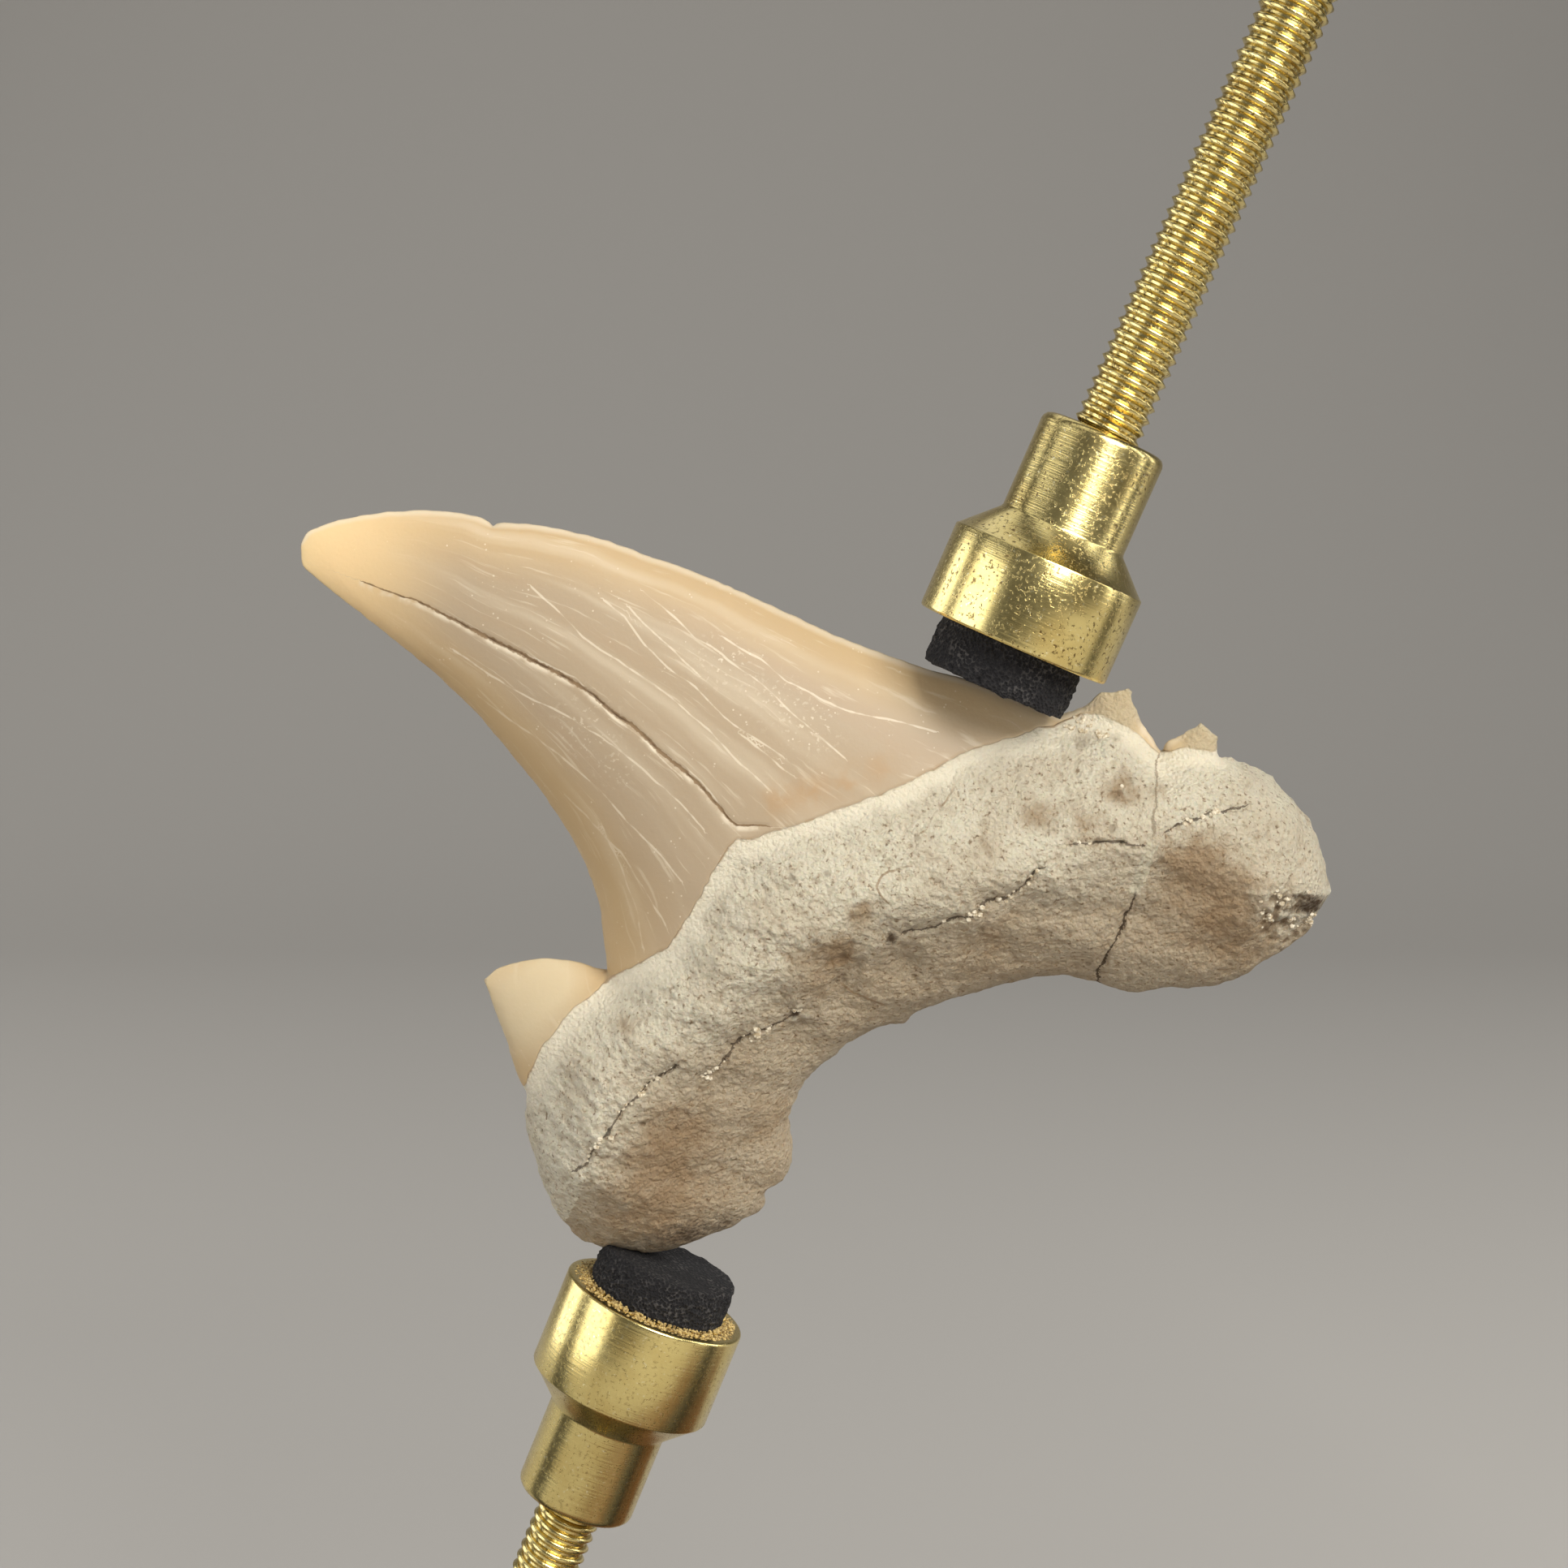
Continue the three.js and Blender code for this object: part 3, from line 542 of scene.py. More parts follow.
# The smooth form: its heights towards the viewer and away, from a plane that the root sets back
def toothForm(x, z, swell, fromEnamel, fromCrest, nearRim):
    root = smoothStep(*tooth["rootStart"], fromEnamel)
    crown = tooth["crownFullness"] * swell**2 / (swell + tooth["crownEdgeEase"])
    crest = tooth["crestHeight"] * hump(fromCrest, tooth["crestSpread"]) * nearRim
    ripple = tooth["rippleHeight"] * np.sin(1.1 * x + 0.6 * z) * np.sin(0.5 * x - 1.3 * z + 1) * root
    relief = ripple.copy()
    for cx, cz, height, spread in tooth["relief"]:
        relief += root * height * hump(np.hypot(x - cx, z - cz), spread)
    front = crown + (tooth["rootFullness"] * swell + crest - crown) * root + relief * nearRim
    back = tooth["crownBackShare"] * crown
    back += (tooth["rootBackFullness"] * swell - back) * root - ripple * nearRim
    return front, np.maximum(back, 0.05 * swell), tooth["rootSetBack"] * root


# The form with its cracks, sand and lumps, and the marks that the colours and the rock grains use
def toothSection(x, z, swell, rim):
    wobble = 0.08 * roughness(x, z, size=0.9, octaves=3, seed=11)
    fromEnamel = lineDistance(x, z, tooth["enamelLine"])
    fromCrest = lineDistance(x, z, tooth["rootCrest"])
    nearRim = np.minimum(swell / 2, 1)
    front, back, middle = toothForm(x, z, swell, fromEnamel, fromCrest, nearRim)
    onCrown = smoothStep(-tooth["enamelEdge"], tooth["enamelEdge"], fromEnamel + wobble)
    onRoot = 1 - onCrown
    bone = onRoot * smoothStep(-0.5, -1.8, fromEnamel)
    front = front + tooth["enamelStep"] * onCrown * nearRim

    height = front - middle
    closeness = 1 - height / tooth["eyeDistance"]
    seenX, seenZ = x / closeness, (z - tooth["eyeRise"] * height) / closeness
    concave, convex = tooth["blade"][:tooth["tipIndex"] + 1], tooth["blade"][tooth["tipIndex"]:]
    toConcave, toConvex = (np.abs(lineDistance(x, z, line)) for line in (concave, convex))
    tipX, tipZ = tooth["blade"][tooth["tipIndex"]]
    along = np.hypot(x - tipX, z - tipZ)
    marks = {
        "enamel": fromEnamel + wobble,
        "crest": fromCrest,
        "rim": rim,
        "along": along,
        "across": toConcave / (toConcave + toConvex + 0.05),
        "cusp": blotches(x, z, tooth["cusps"]),
        "worn": blotches(x, z, tooth["wornCusps"]),
        "seenHeight": seenZ,
        "crackWidth": 0.05 + 0.085 * smoothStep(4.5, 11.0, along) * smoothStep(30.0, 24.0, along),
    }
    sway = 0.22 * roughness(x, z, size=2.2, octaves=3, seed=21)
    for name, family in tooth["lines"].items():
        swayX, swayZ = family["sway"]
        marks[name] = nearestLine(seenX + swayX * sway, seenZ + swayZ * sway, family["paths"])
        if len(family["paths"]) > 1:  # halfway between two paths the sign can turn, which this hides
            marks[name + "Near"] = hump(marks[name], 0.3)
    for name, spots in tooth["stains"].items():
        marks[name] = blotches(seenX, seenZ, spots)

    # The root's cracks open and close like beads, and its mended break is open low down and sunk high up
    beads = np.clip(0.6 + 1.1 * roughness(x, z, size=0.55, octaves=2, seed=31), 0.05, 1.3)
    grooves = 0.08 * hump(marks["crownCrack"], 0.12) * smoothStep(5.0, 11.0, along) * onCrown
    grooves += 0.3 * beads * hump(marks["rootCrack"], 0.15) * onRoot
    grooves += 0.22 * beads * hump(marks["mend"], 0.15) * smoothStep(-5.5, -6.5, seenZ) * onRoot
    grooves += 0.1 * hump(marks["mend"], 0.2) * smoothStep(-3.5, -2.5, seenZ) * onRoot
    sand = roughness(x, z, size=0.34, octaves=2, seed=51)
    sand += 0.6 * roughness(x + 3, z, size=0.25, octaves=1, seed=55)
    sandy = 0.75 + 0.35 * hump(fromCrest - 1.5, 4.0)
    lumps = roughness(x, z, size=2.1, octaves=3, seed=41)
    broken = blotches(seenX, seenZ, tooth["broken"])
    rubble = broken * roughness(x, z, size=0.6, octaves=2, seed=61)
    surface = bone * (0.5 + 0.5 * nearRim) * (
        tooth["lumpHeight"] * lumps + tooth["sandHeight"] * sand * sandy + tooth["rubbleHeight"] * rubble)
    surface += tooth["enamelWaves"] * onCrown * roughness(x, z, size=2.5, octaves=2, seed=71)
    patchy = 0.6 + 0.8 * roughness(x, z, size=1.1, octaves=2, seed=65)
    marks["broken"] = rubble
    marks["sand"] = sand * bone
    marks["crumbly"] = (broken + 0.9 * hump(marks["rootCrack"], 0.28)) * patchy * onRoot
    return front + (surface - grooves) * nearRim, back + 0.7 * surface * nearRim, middle, marks


# Small open pores of the root, pressed into the front
def poresOf(x, z, fromEnamel, seed):
    rng = np.random.default_rng(seed)
    tree = KDTree(len(x))
    for index, (px, pz) in enumerate(zip(x, z)):
        tree.insert((px, pz, 0), index)
    tree.balance()
    hollow = np.zeros(len(x))
    least, spread = tooth["poreRadius"]
    for start in rng.choice(np.flatnonzero(fromEnamel < -2.4), tooth["poreCount"]):
        radius = least + spread * rng.random() ** 3
        depth = 0.8 * radius * (0.5 + rng.random())
        for _, index, distance in tree.find_range((x[start], z[start], 0), 2.2 * radius):
            hollow[index] = max(hollow[index], depth * hump(distance, radius))
    return hollow


def buildTooth():
    stretches = [tooth["blade"]] + tooth["stretches"]
    outline = np.vstack([curveThrough(line, tooth["rimSpacing"])[:-1] for line in stretches])
    count = len(outline)
    sheets = []
    for spacing in (tooth["frontSpacing"], tooth["backSpacing"]):
        points, triangles = toothSheet(outline, spacing)
        x, z = points.T
        section = toothSection(x, z, swellOf(points, triangles, count), rimDistance(x, z, outline))
        sheets.append((x, z, triangles, *section))
    fx, fz, frontTriangles, front, _, frontMiddle, frontMarks = sheets[0]
    bx, bz, backTriangles, _, back, backMiddle, backMarks = sheets[1]
    frontMarks["hollow"] = poresOf(fx, fz, frontMarks["enamel"], seed=5)
    backMarks["hollow"] = np.zeros(len(bx))
    frontY = frontMiddle - front + frontMarks["hollow"]
    frontY[:count] = frontMiddle[:count]
    backY = backMiddle + back

    # The two sides share the rim, so the back's own points start after it
    spots = np.vstack([np.column_stack([fx, frontY, fz]), np.column_stack([bx, backY, bz])[count:]])
    marks = {name: np.concatenate([frontMarks[name], backMarks[name][count:]]) for name in frontMarks}
    backTriangles = np.where(backTriangles < count, backTriangles, backTriangles + len(fx) - count)[:, ::-1]

    # The rim is worn uneven, more so on the root and the small cusps, and the blade has one nick
    wear = tooth["rimWear"]
    rimBand = np.exp(-marks["rim"] / tooth["rimWearWidth"])
    even = np.where(marks["enamel"] > 0, wear["crown"], wear["root"])
    worn = rimBand * (even + wear["wornCusp"] * marks["worn"])
    x, z = spots[:, 0].copy(), spots[:, 2].copy()
    nick = tooth["nick"]
    nicked = nick["depth"] * np.exp(-np.hypot(x - nick["x"], z - nick["z"]) / nick["width"])
    spots[:, 0] += worn * roughness(x, z, size=0.6, octaves=2, seed=81)
    spots[:, 2] += worn * roughness(x, z, size=0.6, octaves=2, seed=91) - nicked
    piece = meshObject("fossil_tooth", spots, np.vstack([frontTriangles, backTriangles]), toothFrame, 180)
    for name, values in marks.items():
        attribute = piece.data.attributes.new(name, "FLOAT", "POINT")
        attribute.data.foreach_set("value", values.astype(np.float32))
    return piece


# Fossil enamel and root: glossy cream crown with hair streaks towards the tip and painted shade along its
# concave edge, chalky stained root with painted shade below its crest and in its sand's hollows
def toothMaterial():
    material, tree = newMaterial("fossil enamel and root")
    colors = tooth["colors"]
    names = ["enamel", "crest", "rim", "along", "across", "cusp", "worn", "seenHeight", "crackWidth",
             "broken", "sand", "hollow", "hairNear", "veinNear", "rootCrackNear"]
    mark, apart = {}, {}
    for name in names + list(tooth["stains"]) + list(tooth["lines"]):
        mark[name] = addNode(tree, "ShaderNodeAttribute", output="Fac", attribute_name=name)
    for name in ["enamel"] + list(tooth["lines"]):
        apart[name] = addNode(tree, "ShaderNodeMath", {0: mark[name]}, operation="ABSOLUTE")
    local = localMillimetres(tree, toothFrame)
    noise = {}
    for name, detail in (("broad", 4), ("middle", 5), ("fine", 4)):
        noise[name] = addNode(tree, "ShaderNodeTexNoise", {
            "Vector": local, "Scale": 1 / tooth["sizes"][name], "Detail": detail,
        })

    def drawnLine(name, width):
        reach = addNode(tree, "ShaderNodeMath", {0: apart[name], 1: width}, operation="DIVIDE")
        return productOf(tree, (reach, 1.2, 0.6), (mark[name + "Near"], 0.3, 0.6))

    # The crown: warm rims and tip, a duller middle, pale hair streaks that run together at the tip, and
    # painted shade along the concave edge
    shifted = addNode(tree, "ShaderNodeMath", {
        0: noise["broad"], 1: 0.05, 2: -0.025,
    }, operation="MULTIPLY_ADD")
    flow = addNode(tree, "ShaderNodeCombineXYZ", {
        "X": addNode(tree, "ShaderNodeMath", {0: mark["across"], 1: shifted}, operation="ADD"),
        "Y": productOf(tree, mark["along"], 0.0035),
    })
    wide = addNode(tree, "ShaderNodeTexNoise", {
        "Vector": flow, "Scale": tooth["wideStreaks"], "Detail": 2.0,
    })
    hair = addNode(tree, "ShaderNodeTexNoise", {
        "Vector": flow, "Scale": tooth["hairStreaks"], "Detail": 3.0,
    })
    rimWarm = addNode(tree, "ShaderNodeMath", {
        0: productOf(tree, (mark["rim"], 3.6, 0.3)), 1: productOf(tree, (mark["along"], 9.0, 1.0)),
    }, operation="MAXIMUM")
    pastTip = productOf(tree, (mark["along"], 3.0, 12.0))
    hairWidth = productOf(tree, (noise["middle"], 0.3, 0.7, 0.03, 0.075))
    dust = addNode(tree, "ShaderNodeTexVoronoi", {
        "Vector": local, "Scale": 1 / tooth["sizes"]["dust"],
    }, "Distance")
    ragged = productOf(tree, mark["crackWidth"], (noise["fine"], 0.3, 0.7, 0.5, 1.1))
    crack = addNode(tree, "ShaderNodeMath", {0: apart["crownCrack"], 1: ragged}, operation="DIVIDE")
    crown = layeredColor(tree, colors["crownMiddle"], [
        (colors["crownRim"], rimWarm),
        (colors["crownStreak"], (wide, 0.5, 0.7, 0.0, 0.3), pastTip),
        (colors["crownDull"], (wide, 0.48, 0.3, 0.0, 0.35), pastTip),
        (colors["crownStreak"], (hair, 0.58, 0.7, 0.0, 0.3), pastTip),
        (colors["crownStreak"], drawnLine("hair", hairWidth), (noise["middle"], 0.34, 0.55, 0.1, 0.6)),
        (colors["crownStreak"], (dust, 0.17, 0.09), (noise["middle"], 0.52, 0.62, 0.0, 0.6)),
        # painted shade: the concave lower edge, which turns away from the light, is darkened away from the
        # tip
        (colors["crownConcaveShade"], (mark["across"], 0.3, 0.03, 0.0, 0.55), (mark["along"], 4.0, 12.0)),
        (colors["crownTip"], (mark["along"], 10.0, 1.0, 0.0, 0.9)),
        (colors["crownStreak"], mark["crownChip"], (noise["fine"], 0.58, 0.66), 0.7),
        (colors["rootOchreAndShade"], mark["crownStain"], (noise["middle"], 0.3, 0.6), 0.8),
        (colors["crownStreak"], (mark["rim"], 0.35, 0.1), (mark["across"], 0.6, 0.9, 0.0, 0.5)),
        (colors["cusp"], mark["cusp"], 0.85),
        (colors["crownStreak"], (mark["crownCrack"], 0.02, -0.08), (mark["crownCrack"], -0.45, -0.15),
         (noise["middle"], 0.4, 0.6, 0.0, 0.7)),
        (colors["crackBrown"], (crack, 1.3, 0.8, 0.0, 0.75)),
        (colors["crackDark"], (crack, 0.6, 0.2), (noise["middle"], 0.42, 0.6, 0.0, 0.8)),
    ])

    # The root: a smooth pale neck under the enamel, then sandy bone with a few ochre and dark stains, browner
    # below the crest (partly its own tone, partly painted shade), with painted shade in the sand's hollows
    # and in two of the ochre spots
    patchy = {}
    for name, pattern, share in (("ochre", "middle", 0.9), ("dark", "fine", 0.9), ("enamel", "middle", 1.6)):
        patchy[name] = addNode(tree, "ShaderNodeMath", {
            0: noise[pattern], 1: share, 2: mark[name],
        }, operation="MULTIPLY_ADD")
    neck = productOf(tree, (patchy["enamel"], -0.9, 0.3))
    crackWidth = productOf(tree, (noise["fine"], 0.4, 0.62, 0.03, 0.12))
    glue = addNode(tree, "ShaderNodeMath", {
        0: productOf(tree, noise["middle"], 0.75), 1: apart["mend"],
    }, operation="SUBTRACT")
    mend = addNode(tree, "ShaderNodeMath", {0: apart["mend"], 1: crackWidth}, operation="DIVIDE")
    root = layeredColor(tree, colors["rootPale"], [
        (colors["rootOchreAndShade"], (noise["broad"], 0.42, 0.62), 0.2),
        # ochre stains, two spots of them painted shade under the crest
        (colors["rootOchreAndShade"], (patchy["ochre"], 0.55, 1.35), 0.8),
        # browner below the crest: partly the bone's own tone, partly painted shade where the root turns down
        # away from the light
        (colors["rootOchreAndShade"], (mark["crest"], 1.0, -5.0, 0.0, 0.55)),
        # painted shade: the hollows of the sand relief are darkened
        (colors["rootOchreAndShade"], (mark["sand"], -0.1, -1.1, 0.0, 0.24)),
        (colors["rootOchreAndShade"], (noise["fine"], 0.46, 0.3, 0.0, 0.65)),
        (colors["rootDark"], (noise["fine"], 0.36, 0.28, 0.0, 0.5)),
        (colors["rootDark"], (patchy["dark"], 0.85, 1.45)),
        (colors["crackBrown"], (mark["hollow"], 0.02, 0.08, 0.0, 0.35)),
        (colors["crackBrown"], (mark["broken"], -0.05, -0.5, 0.0, 0.6)),
        (colors["neck"], (mark["broken"], 0.1, 0.5, 0.0, 0.6)),
        (colors["rootOchreAndShade"], drawnLine("vein", 0.07), (noise["middle"], 0.36, 0.55, 0.1, 0.7)),
        (colors["neck"], neck),
        (colors["crackDark"], drawnLine("rootCrack", crackWidth), 0.75),
        (colors["mend"], (glue, 0.0, 0.08, 0.0, 0.75), (mark["seenHeight"], -6.6, -5.8),
         (mark["seenHeight"], -2.9, -3.6)),
        (colors["crackBrown"], (mend, 1.3, 0.6), (mark["seenHeight"], -3.4, -2.6, 0.0, 0.55)),
        (colors["crackDark"], (mend, 1.3, 0.6), (mark["seenHeight"], -5.8, -6.6, 0.0, 0.85)),
    ])

    onCrown = productOf(tree, (mark["enamel"], -0.06, 0.06))
    whole = addNode(tree, "ShaderNodeMix", {0: onCrown, 6: root, 7: crown}, 2, data_type="RGBA")
    seam = productOf(tree, (apart["enamel"], 0.11, 0.02), (noise["middle"], 0.5, 0.62),
                     (mark["cusp"], 0.6, 0.2), 0.6)
    grain = addNode(tree, "ShaderNodeTexNoise", {
        "Vector": local, "Scale": 1 / tooth["sizes"]["grain"], "Detail": 5.0, "Roughness": 0.7,
    })
    pebbles = addNode(tree, "ShaderNodeTexVoronoi", {
        "Vector": local, "Scale": 1 / tooth["sizes"]["pebble"],
    }, "Distance")
    grain = addNode(tree, "ShaderNodeMath", {0: pebbles, 1: -0.35, 2: grain}, operation="MULTIPLY_ADD")
    smooth = addNode(tree, "ShaderNodeMath", {
        0: productOf(tree, onCrown, (mark["worn"], 0.3, 1.0, 1.0, 0.5)), 1: productOf(tree, neck, 0.55),
    }, operation="MAXIMUM")
    bump = addNode(tree, "ShaderNodeBump", {
        "Height": productOf(tree, grain, (smooth, 0.0, 1.0, 1.0, 0.02)),
        "Strength": 1.0,
        "Distance": 0.65 * mm,
    })
    finishMaterial(tree, {
        "Base Color": addNode(tree, "ShaderNodeMix", {
            0: seam, 6: whole, 7: linearColor(colors["rootOchreAndShade"]),
        }, 2, data_type="RGBA"),
        "Roughness": productOf(tree, (onCrown, 0.0, 1.0, 0.85, 0.5)),
        "Specular IOR Level": 0.3,
        "Normal": bump,
        "Subsurface Weight": 0.12,
        "Subsurface Radius": (0.9, 0.55, 0.3),
        "Subsurface Scale": 1.2 * mm,
        "Coat Weight": productOf(tree, onCrown, 0.05),
        "Coat Roughness": 0.22,
    })
    return material


toothPiece = buildTooth()
finishPiece(toothPiece, toothMaterial(), "stand", "tooth")
print("stage: tooth built,", len(toothPiece.data.polygons), "triangles")


# Grains that vary between a darker and a lighter colour, with little shine
def gritMaterial(name, dark, light, tintSize=0.16667):
    material, tree = newMaterial(name)
    tint = addNode(tree, "ShaderNodeTexNoise", {"Vector": localMillimetres(tree), "Scale": 1 / tintSize})
    color = layeredColor(tree, dark, [(light, (tint, 0.35, 0.65))], curve="LINEAR")
    finishMaterial(tree, {"Base Color": color, "Roughness": 0.6})
    return material


# Small grains scattered over the mesh that comes in, which they replace
def gritTree():
    tree, given = newTree("scattered grit", {"Density": "Float", "Grain": "Float", "Seed": "Int"})
    spots = addNode(tree, "GeometryNodeDistributePointsOnFaces", {
        "Mesh": given["Geometry"], "Density": given["Density"], "Seed": given["Seed"],
    }, "Points")
    ball = addNode(tree, "GeometryNodeMeshIcoSphere", {"Radius": given["Grain"], "Subdivisions": 1}, "Mesh")
    sizes = addNode(tree, "FunctionNodeRandomValue", {
        2: 0.4, 3: 1.3, "Seed": given["Seed"],
    }, 1, data_type="FLOAT")
    copies = addNode(tree, "GeometryNodeInstanceOnPoints", {
        "Points": spots, "Instance": ball, "Scale": sizes,
    })
    finishTree(tree, given, [copies])
    return tree


grit = gritTree()

# Grains of the rock that the tooth lay in, left on its broken places and along its cracks
rock = {
    "perSquareMillimetre": 7,
    "grain": 0.16,
    "seed": 3,
    "crumbly": 0.5,
    "dark": "#ab9878",
    "light": "#e4dac4",
}


def buildRockGrains():
    mesh = toothPiece.data
    spots, corners = np.empty(3 * len(mesh.vertices)), np.empty(3 * len(mesh.polygons), int)
    crumbly = np.empty(len(mesh.vertices))
    mesh.vertices.foreach_get("co", spots)
    mesh.polygons.foreach_get("vertices", corners)
    mesh.attributes["crumbly"].data.foreach_get("value", crumbly)
    triangles = corners.reshape(-1, 3)
    chosen = triangles[crumbly[triangles].mean(axis=1) > rock["crumbly"]]
    piece = meshObject("rock_grains", spots.reshape(-1, 3) / mm, chosen)
    runTree(piece, grit, {
        "Density": rock["perSquareMillimetre"] / mm**2, "Grain": rock["grain"] * mm, "Seed": rock["seed"],
        "Material": gritMaterial("pale rock grains", rock["dark"], rock["light"]),
    })
    return piece


rockGrains = buildRockGrains()
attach(rockGrains, "stand")
print("stage: rock grains built,", len(rockGrains.data.polygons), "triangles")

brass = {
    "bright": "#ead690",
    "tarnish": "#c2a052",
    "speck": "#5a3c20",
    "dust": "#fff4c4",
    "roughness": 0.22,
    "upperSpecks": 0.8,
    "lowerSpecks": 0.3,
    # In millimetres; the scratches are coarser than real tool marks, so that they show
    "sizes": {"scratches": 0.11111, "tarnish": 2.0, "specks": 0.22222, "dust": 0.2},
}


# Turned brass: bright, with ring scratches about the axis, faint tarnish, brown specks and pale dust
def brassMaterial(name, matrix, specks):
    material, tree = newMaterial(name)
    local = localMillimetres(tree, matrix)
    xyz = addNode(tree, "ShaderNodeSeparateXYZ", {"Vector": local}).node.outputs
    flat = addNode(tree, "ShaderNodeCombineXYZ", {"X": xyz["X"], "Y": xyz["Y"]})
    angle = addNode(tree, "ShaderNodeMath", {0: xyz["Y"], 1: xyz["X"]}, operation="ARCTAN2")
    rings = addNode(tree, "ShaderNodeCombineXYZ", {
        "X": addNode(tree, "ShaderNodeVectorMath", {0: flat}, "Value", operation="LENGTH"),
        "Y": productOf(tree, angle, 0.05),
        "Z": xyz["Z"],
    })
    noise = {}
    for pattern, vector, detail, rough in (
        ("scratches", rings, 4.0, 0.5),
        ("tarnish", local, 5.0, 0.5),
        ("specks", local, 3.0, 0.6),
        ("dust", local, 2.0, 0.5),
    ):
        noise[pattern] = addNode(tree, "ShaderNodeTexNoise", {
            "Vector": vector, "Scale": 1 / brass["sizes"][pattern], "Detail": detail, "Roughness": rough,
        })
    speckMask = productOf(tree, (noise["specks"], 0.58, 0.66, 0.0, specks), curve="LINEAR")
    color = layeredColor(tree, brass["bright"], [
        (brass["tarnish"], (noise["tarnish"], 0.45, 0.7, 0.0, 0.35)),
        (brass["speck"], speckMask),
        (brass["dust"], (noise["dust"], 0.66, 0.7, 0.0, 0.8)),
    ], curve="LINEAR")
    smooth, dull = brass["roughness"], brass["roughness"] + 0.08
    pitted = addNode(tree, "ShaderNodeMath", {0: noise["scratches"], 1: speckMask}, operation="SUBTRACT")
    finishMaterial(tree, {
        "Base Color": color,
        "Metallic": 1.0,
        "Roughness": productOf(tree, (noise["specks"], 0.4, 0.7, smooth, dull), curve="LINEAR"),
        "Normal": addNode(tree, "ShaderNodeBump", {"Height": pitted, "Strength": 0.5, "Distance": 0.02 * mm}),
    })
    return material


brassUpper = brassMaterial("turned brass, upper clamp", upperFrame, brass["upperSpecks"])
brassLower = brassMaterial("turned brass, lower clamp", lowerFrame, brass["lowerSpecks"])

# Rounded ends are given as how far in from the side and how far down from the end each point lies
caps = {
    "headRadius": 5.5,
    "upperHead": 5.0,
    "lowerHead": 5.85,
    "faceEdge": 0.2,
    "headEnd": [(0.0, 0.12), (0.04, 0.04), (0.12, 0.0)],
    "taper": 1.75,
    "neckRadius": 3.57,
    "neckLength": 5.65,
    "neckFoot": [(-0.05, -0.03), (0.0, 0.1)],
    "neckEnd": [(0.0, 0.45), (0.06, 0.25), (0.2, 0.08), (0.4, 0.0)],
    "boreDepth": 4.6,
}

rods = {
    "radius": 1.95,
    "threadRoot": 1.67,
    "pitch": 0.7,
    "upper": (8.4, 78.8),
    "lower": (9.25, 48.15),
    "endIn": 0.3,
    "endDown": 0.4,
    "plainEnd": 0.6,
    "gap": 0.3,
}


# A cap: its face at zero, a head with a fine rounded edge, a taper and a neck with a blind bore
def capProfile(headLength):
    radius, neck, edge = caps["headRadius"], caps["neckRadius"], caps["faceEdge"]
    start = headLength + caps["taper"]
    top = start + caps["neckLength"]
    bore, floor = rods["radius"] + rods["gap"], top - caps["boreDepth"]
    quarter = np.linspace(0, math.pi / 2, 6)
    profile = [(0, 0), (radius * 0.5, 0), (radius * 0.8, 0)]
    profile += [(radius - edge + edge * math.sin(a), edge - edge * math.cos(a)) for a in quarter]
    profile += [(radius, headLength * 0.5)]
    profile += [(radius - inwards, headLength - down) for inwards, down in caps["headEnd"]]
    profile += [(neck - inwards, start + up) for inwards, up in caps["neckFoot"]]
    profile += [(neck - inwards, top - down) for inwards, down in caps["neckEnd"]]
    return profile + [(bore, top), (bore, floor), (0, floor)]


# A screw thread: a small profile swept along a spiral, added to the plain rod that comes in
def threadTree():
    tree, given = newTree("screw thread", {
        "Length": "Float", "Pitch": "Float", "Crest Radius": "Float", "Bottom": "Float", "Depth": "Float",
    })
    turns = addNode(tree, "ShaderNodeMath", {0: given["Length"], 1: given["Pitch"]}, operation="DIVIDE")
    middle = addNode(tree, "ShaderNodeMath", {
        0: given["Crest Radius"], 1: given["Depth"],
    }, operation="SUBTRACT")
    spiral = addNode(tree, "GeometryNodeCurveSpiral", {
        "Resolution": 40, "Rotations": turns, "Start Radius": middle, "End Radius": middle,
        "Height": given["Length"],
    })
    upright = addNode(tree, "GeometryNodeSetCurveNormal", {"Curve": spiral}, mode="Z_UP")
    profile = addNode(tree, "GeometryNodeCurvePrimitiveCircle", {"Resolution": 4, "Radius": given["Depth"]})
    swept = addNode(tree, "GeometryNodeCurveToMesh", {
        "Curve": upright, "Profile Curve": profile, "Fill Caps": True,
    })
    raised = addNode(tree, "GeometryNodeTransform", {
        "Geometry": swept, "Translation": addNode(tree, "ShaderNodeCombineXYZ", {"Z": given["Bottom"]}),
    })
    finishTree(tree, given, [given["Geometry"], raised])
    return tree


thread = threadTree()


def buildRod(name, ends, matrix, material):
    bottom, top = ends
    core, endIn, endDown = rods["threadRoot"], rods["endIn"], rods["endDown"]
    piece = meshObject(name, *turnedShape([
        (0, bottom), (core - endIn, bottom), (core, bottom + endDown), (core, top - endDown),
        (core - endIn, top), (0, top),
    ], 48))
    runTree(piece, thread, {
        "Length": (top - bottom - 2 * rods["plainEnd"]) * mm,
        "Pitch": rods["pitch"] * mm,
        "Crest Radius": rods["radius"] * mm,
        "Bottom": (bottom + rods["plainEnd"]) * mm,
        "Depth": (rods["radius"] - core) * mm,
        "Material": material,
    })
    piece.data.transform(matrix)
    return piece


sides = (("upper", "clamp", upperFrame, brassUpper), ("lower", "stand", lowerFrame, brassLower))
for side, body, matrix, material in sides:
    cap = meshObject("brass_cap_" + side, *turnedShape(capProfile(caps[side + "Head"])), matrix)
    finishPiece(cap, material, body, side + "_cap")
for side, body, matrix, material in sides:
    rod = buildRod("threaded_rod_" + side, rods[side], matrix, material)
    finishPiece(rod, material, body, side + "_rod")
print("stage: caps and rods built")

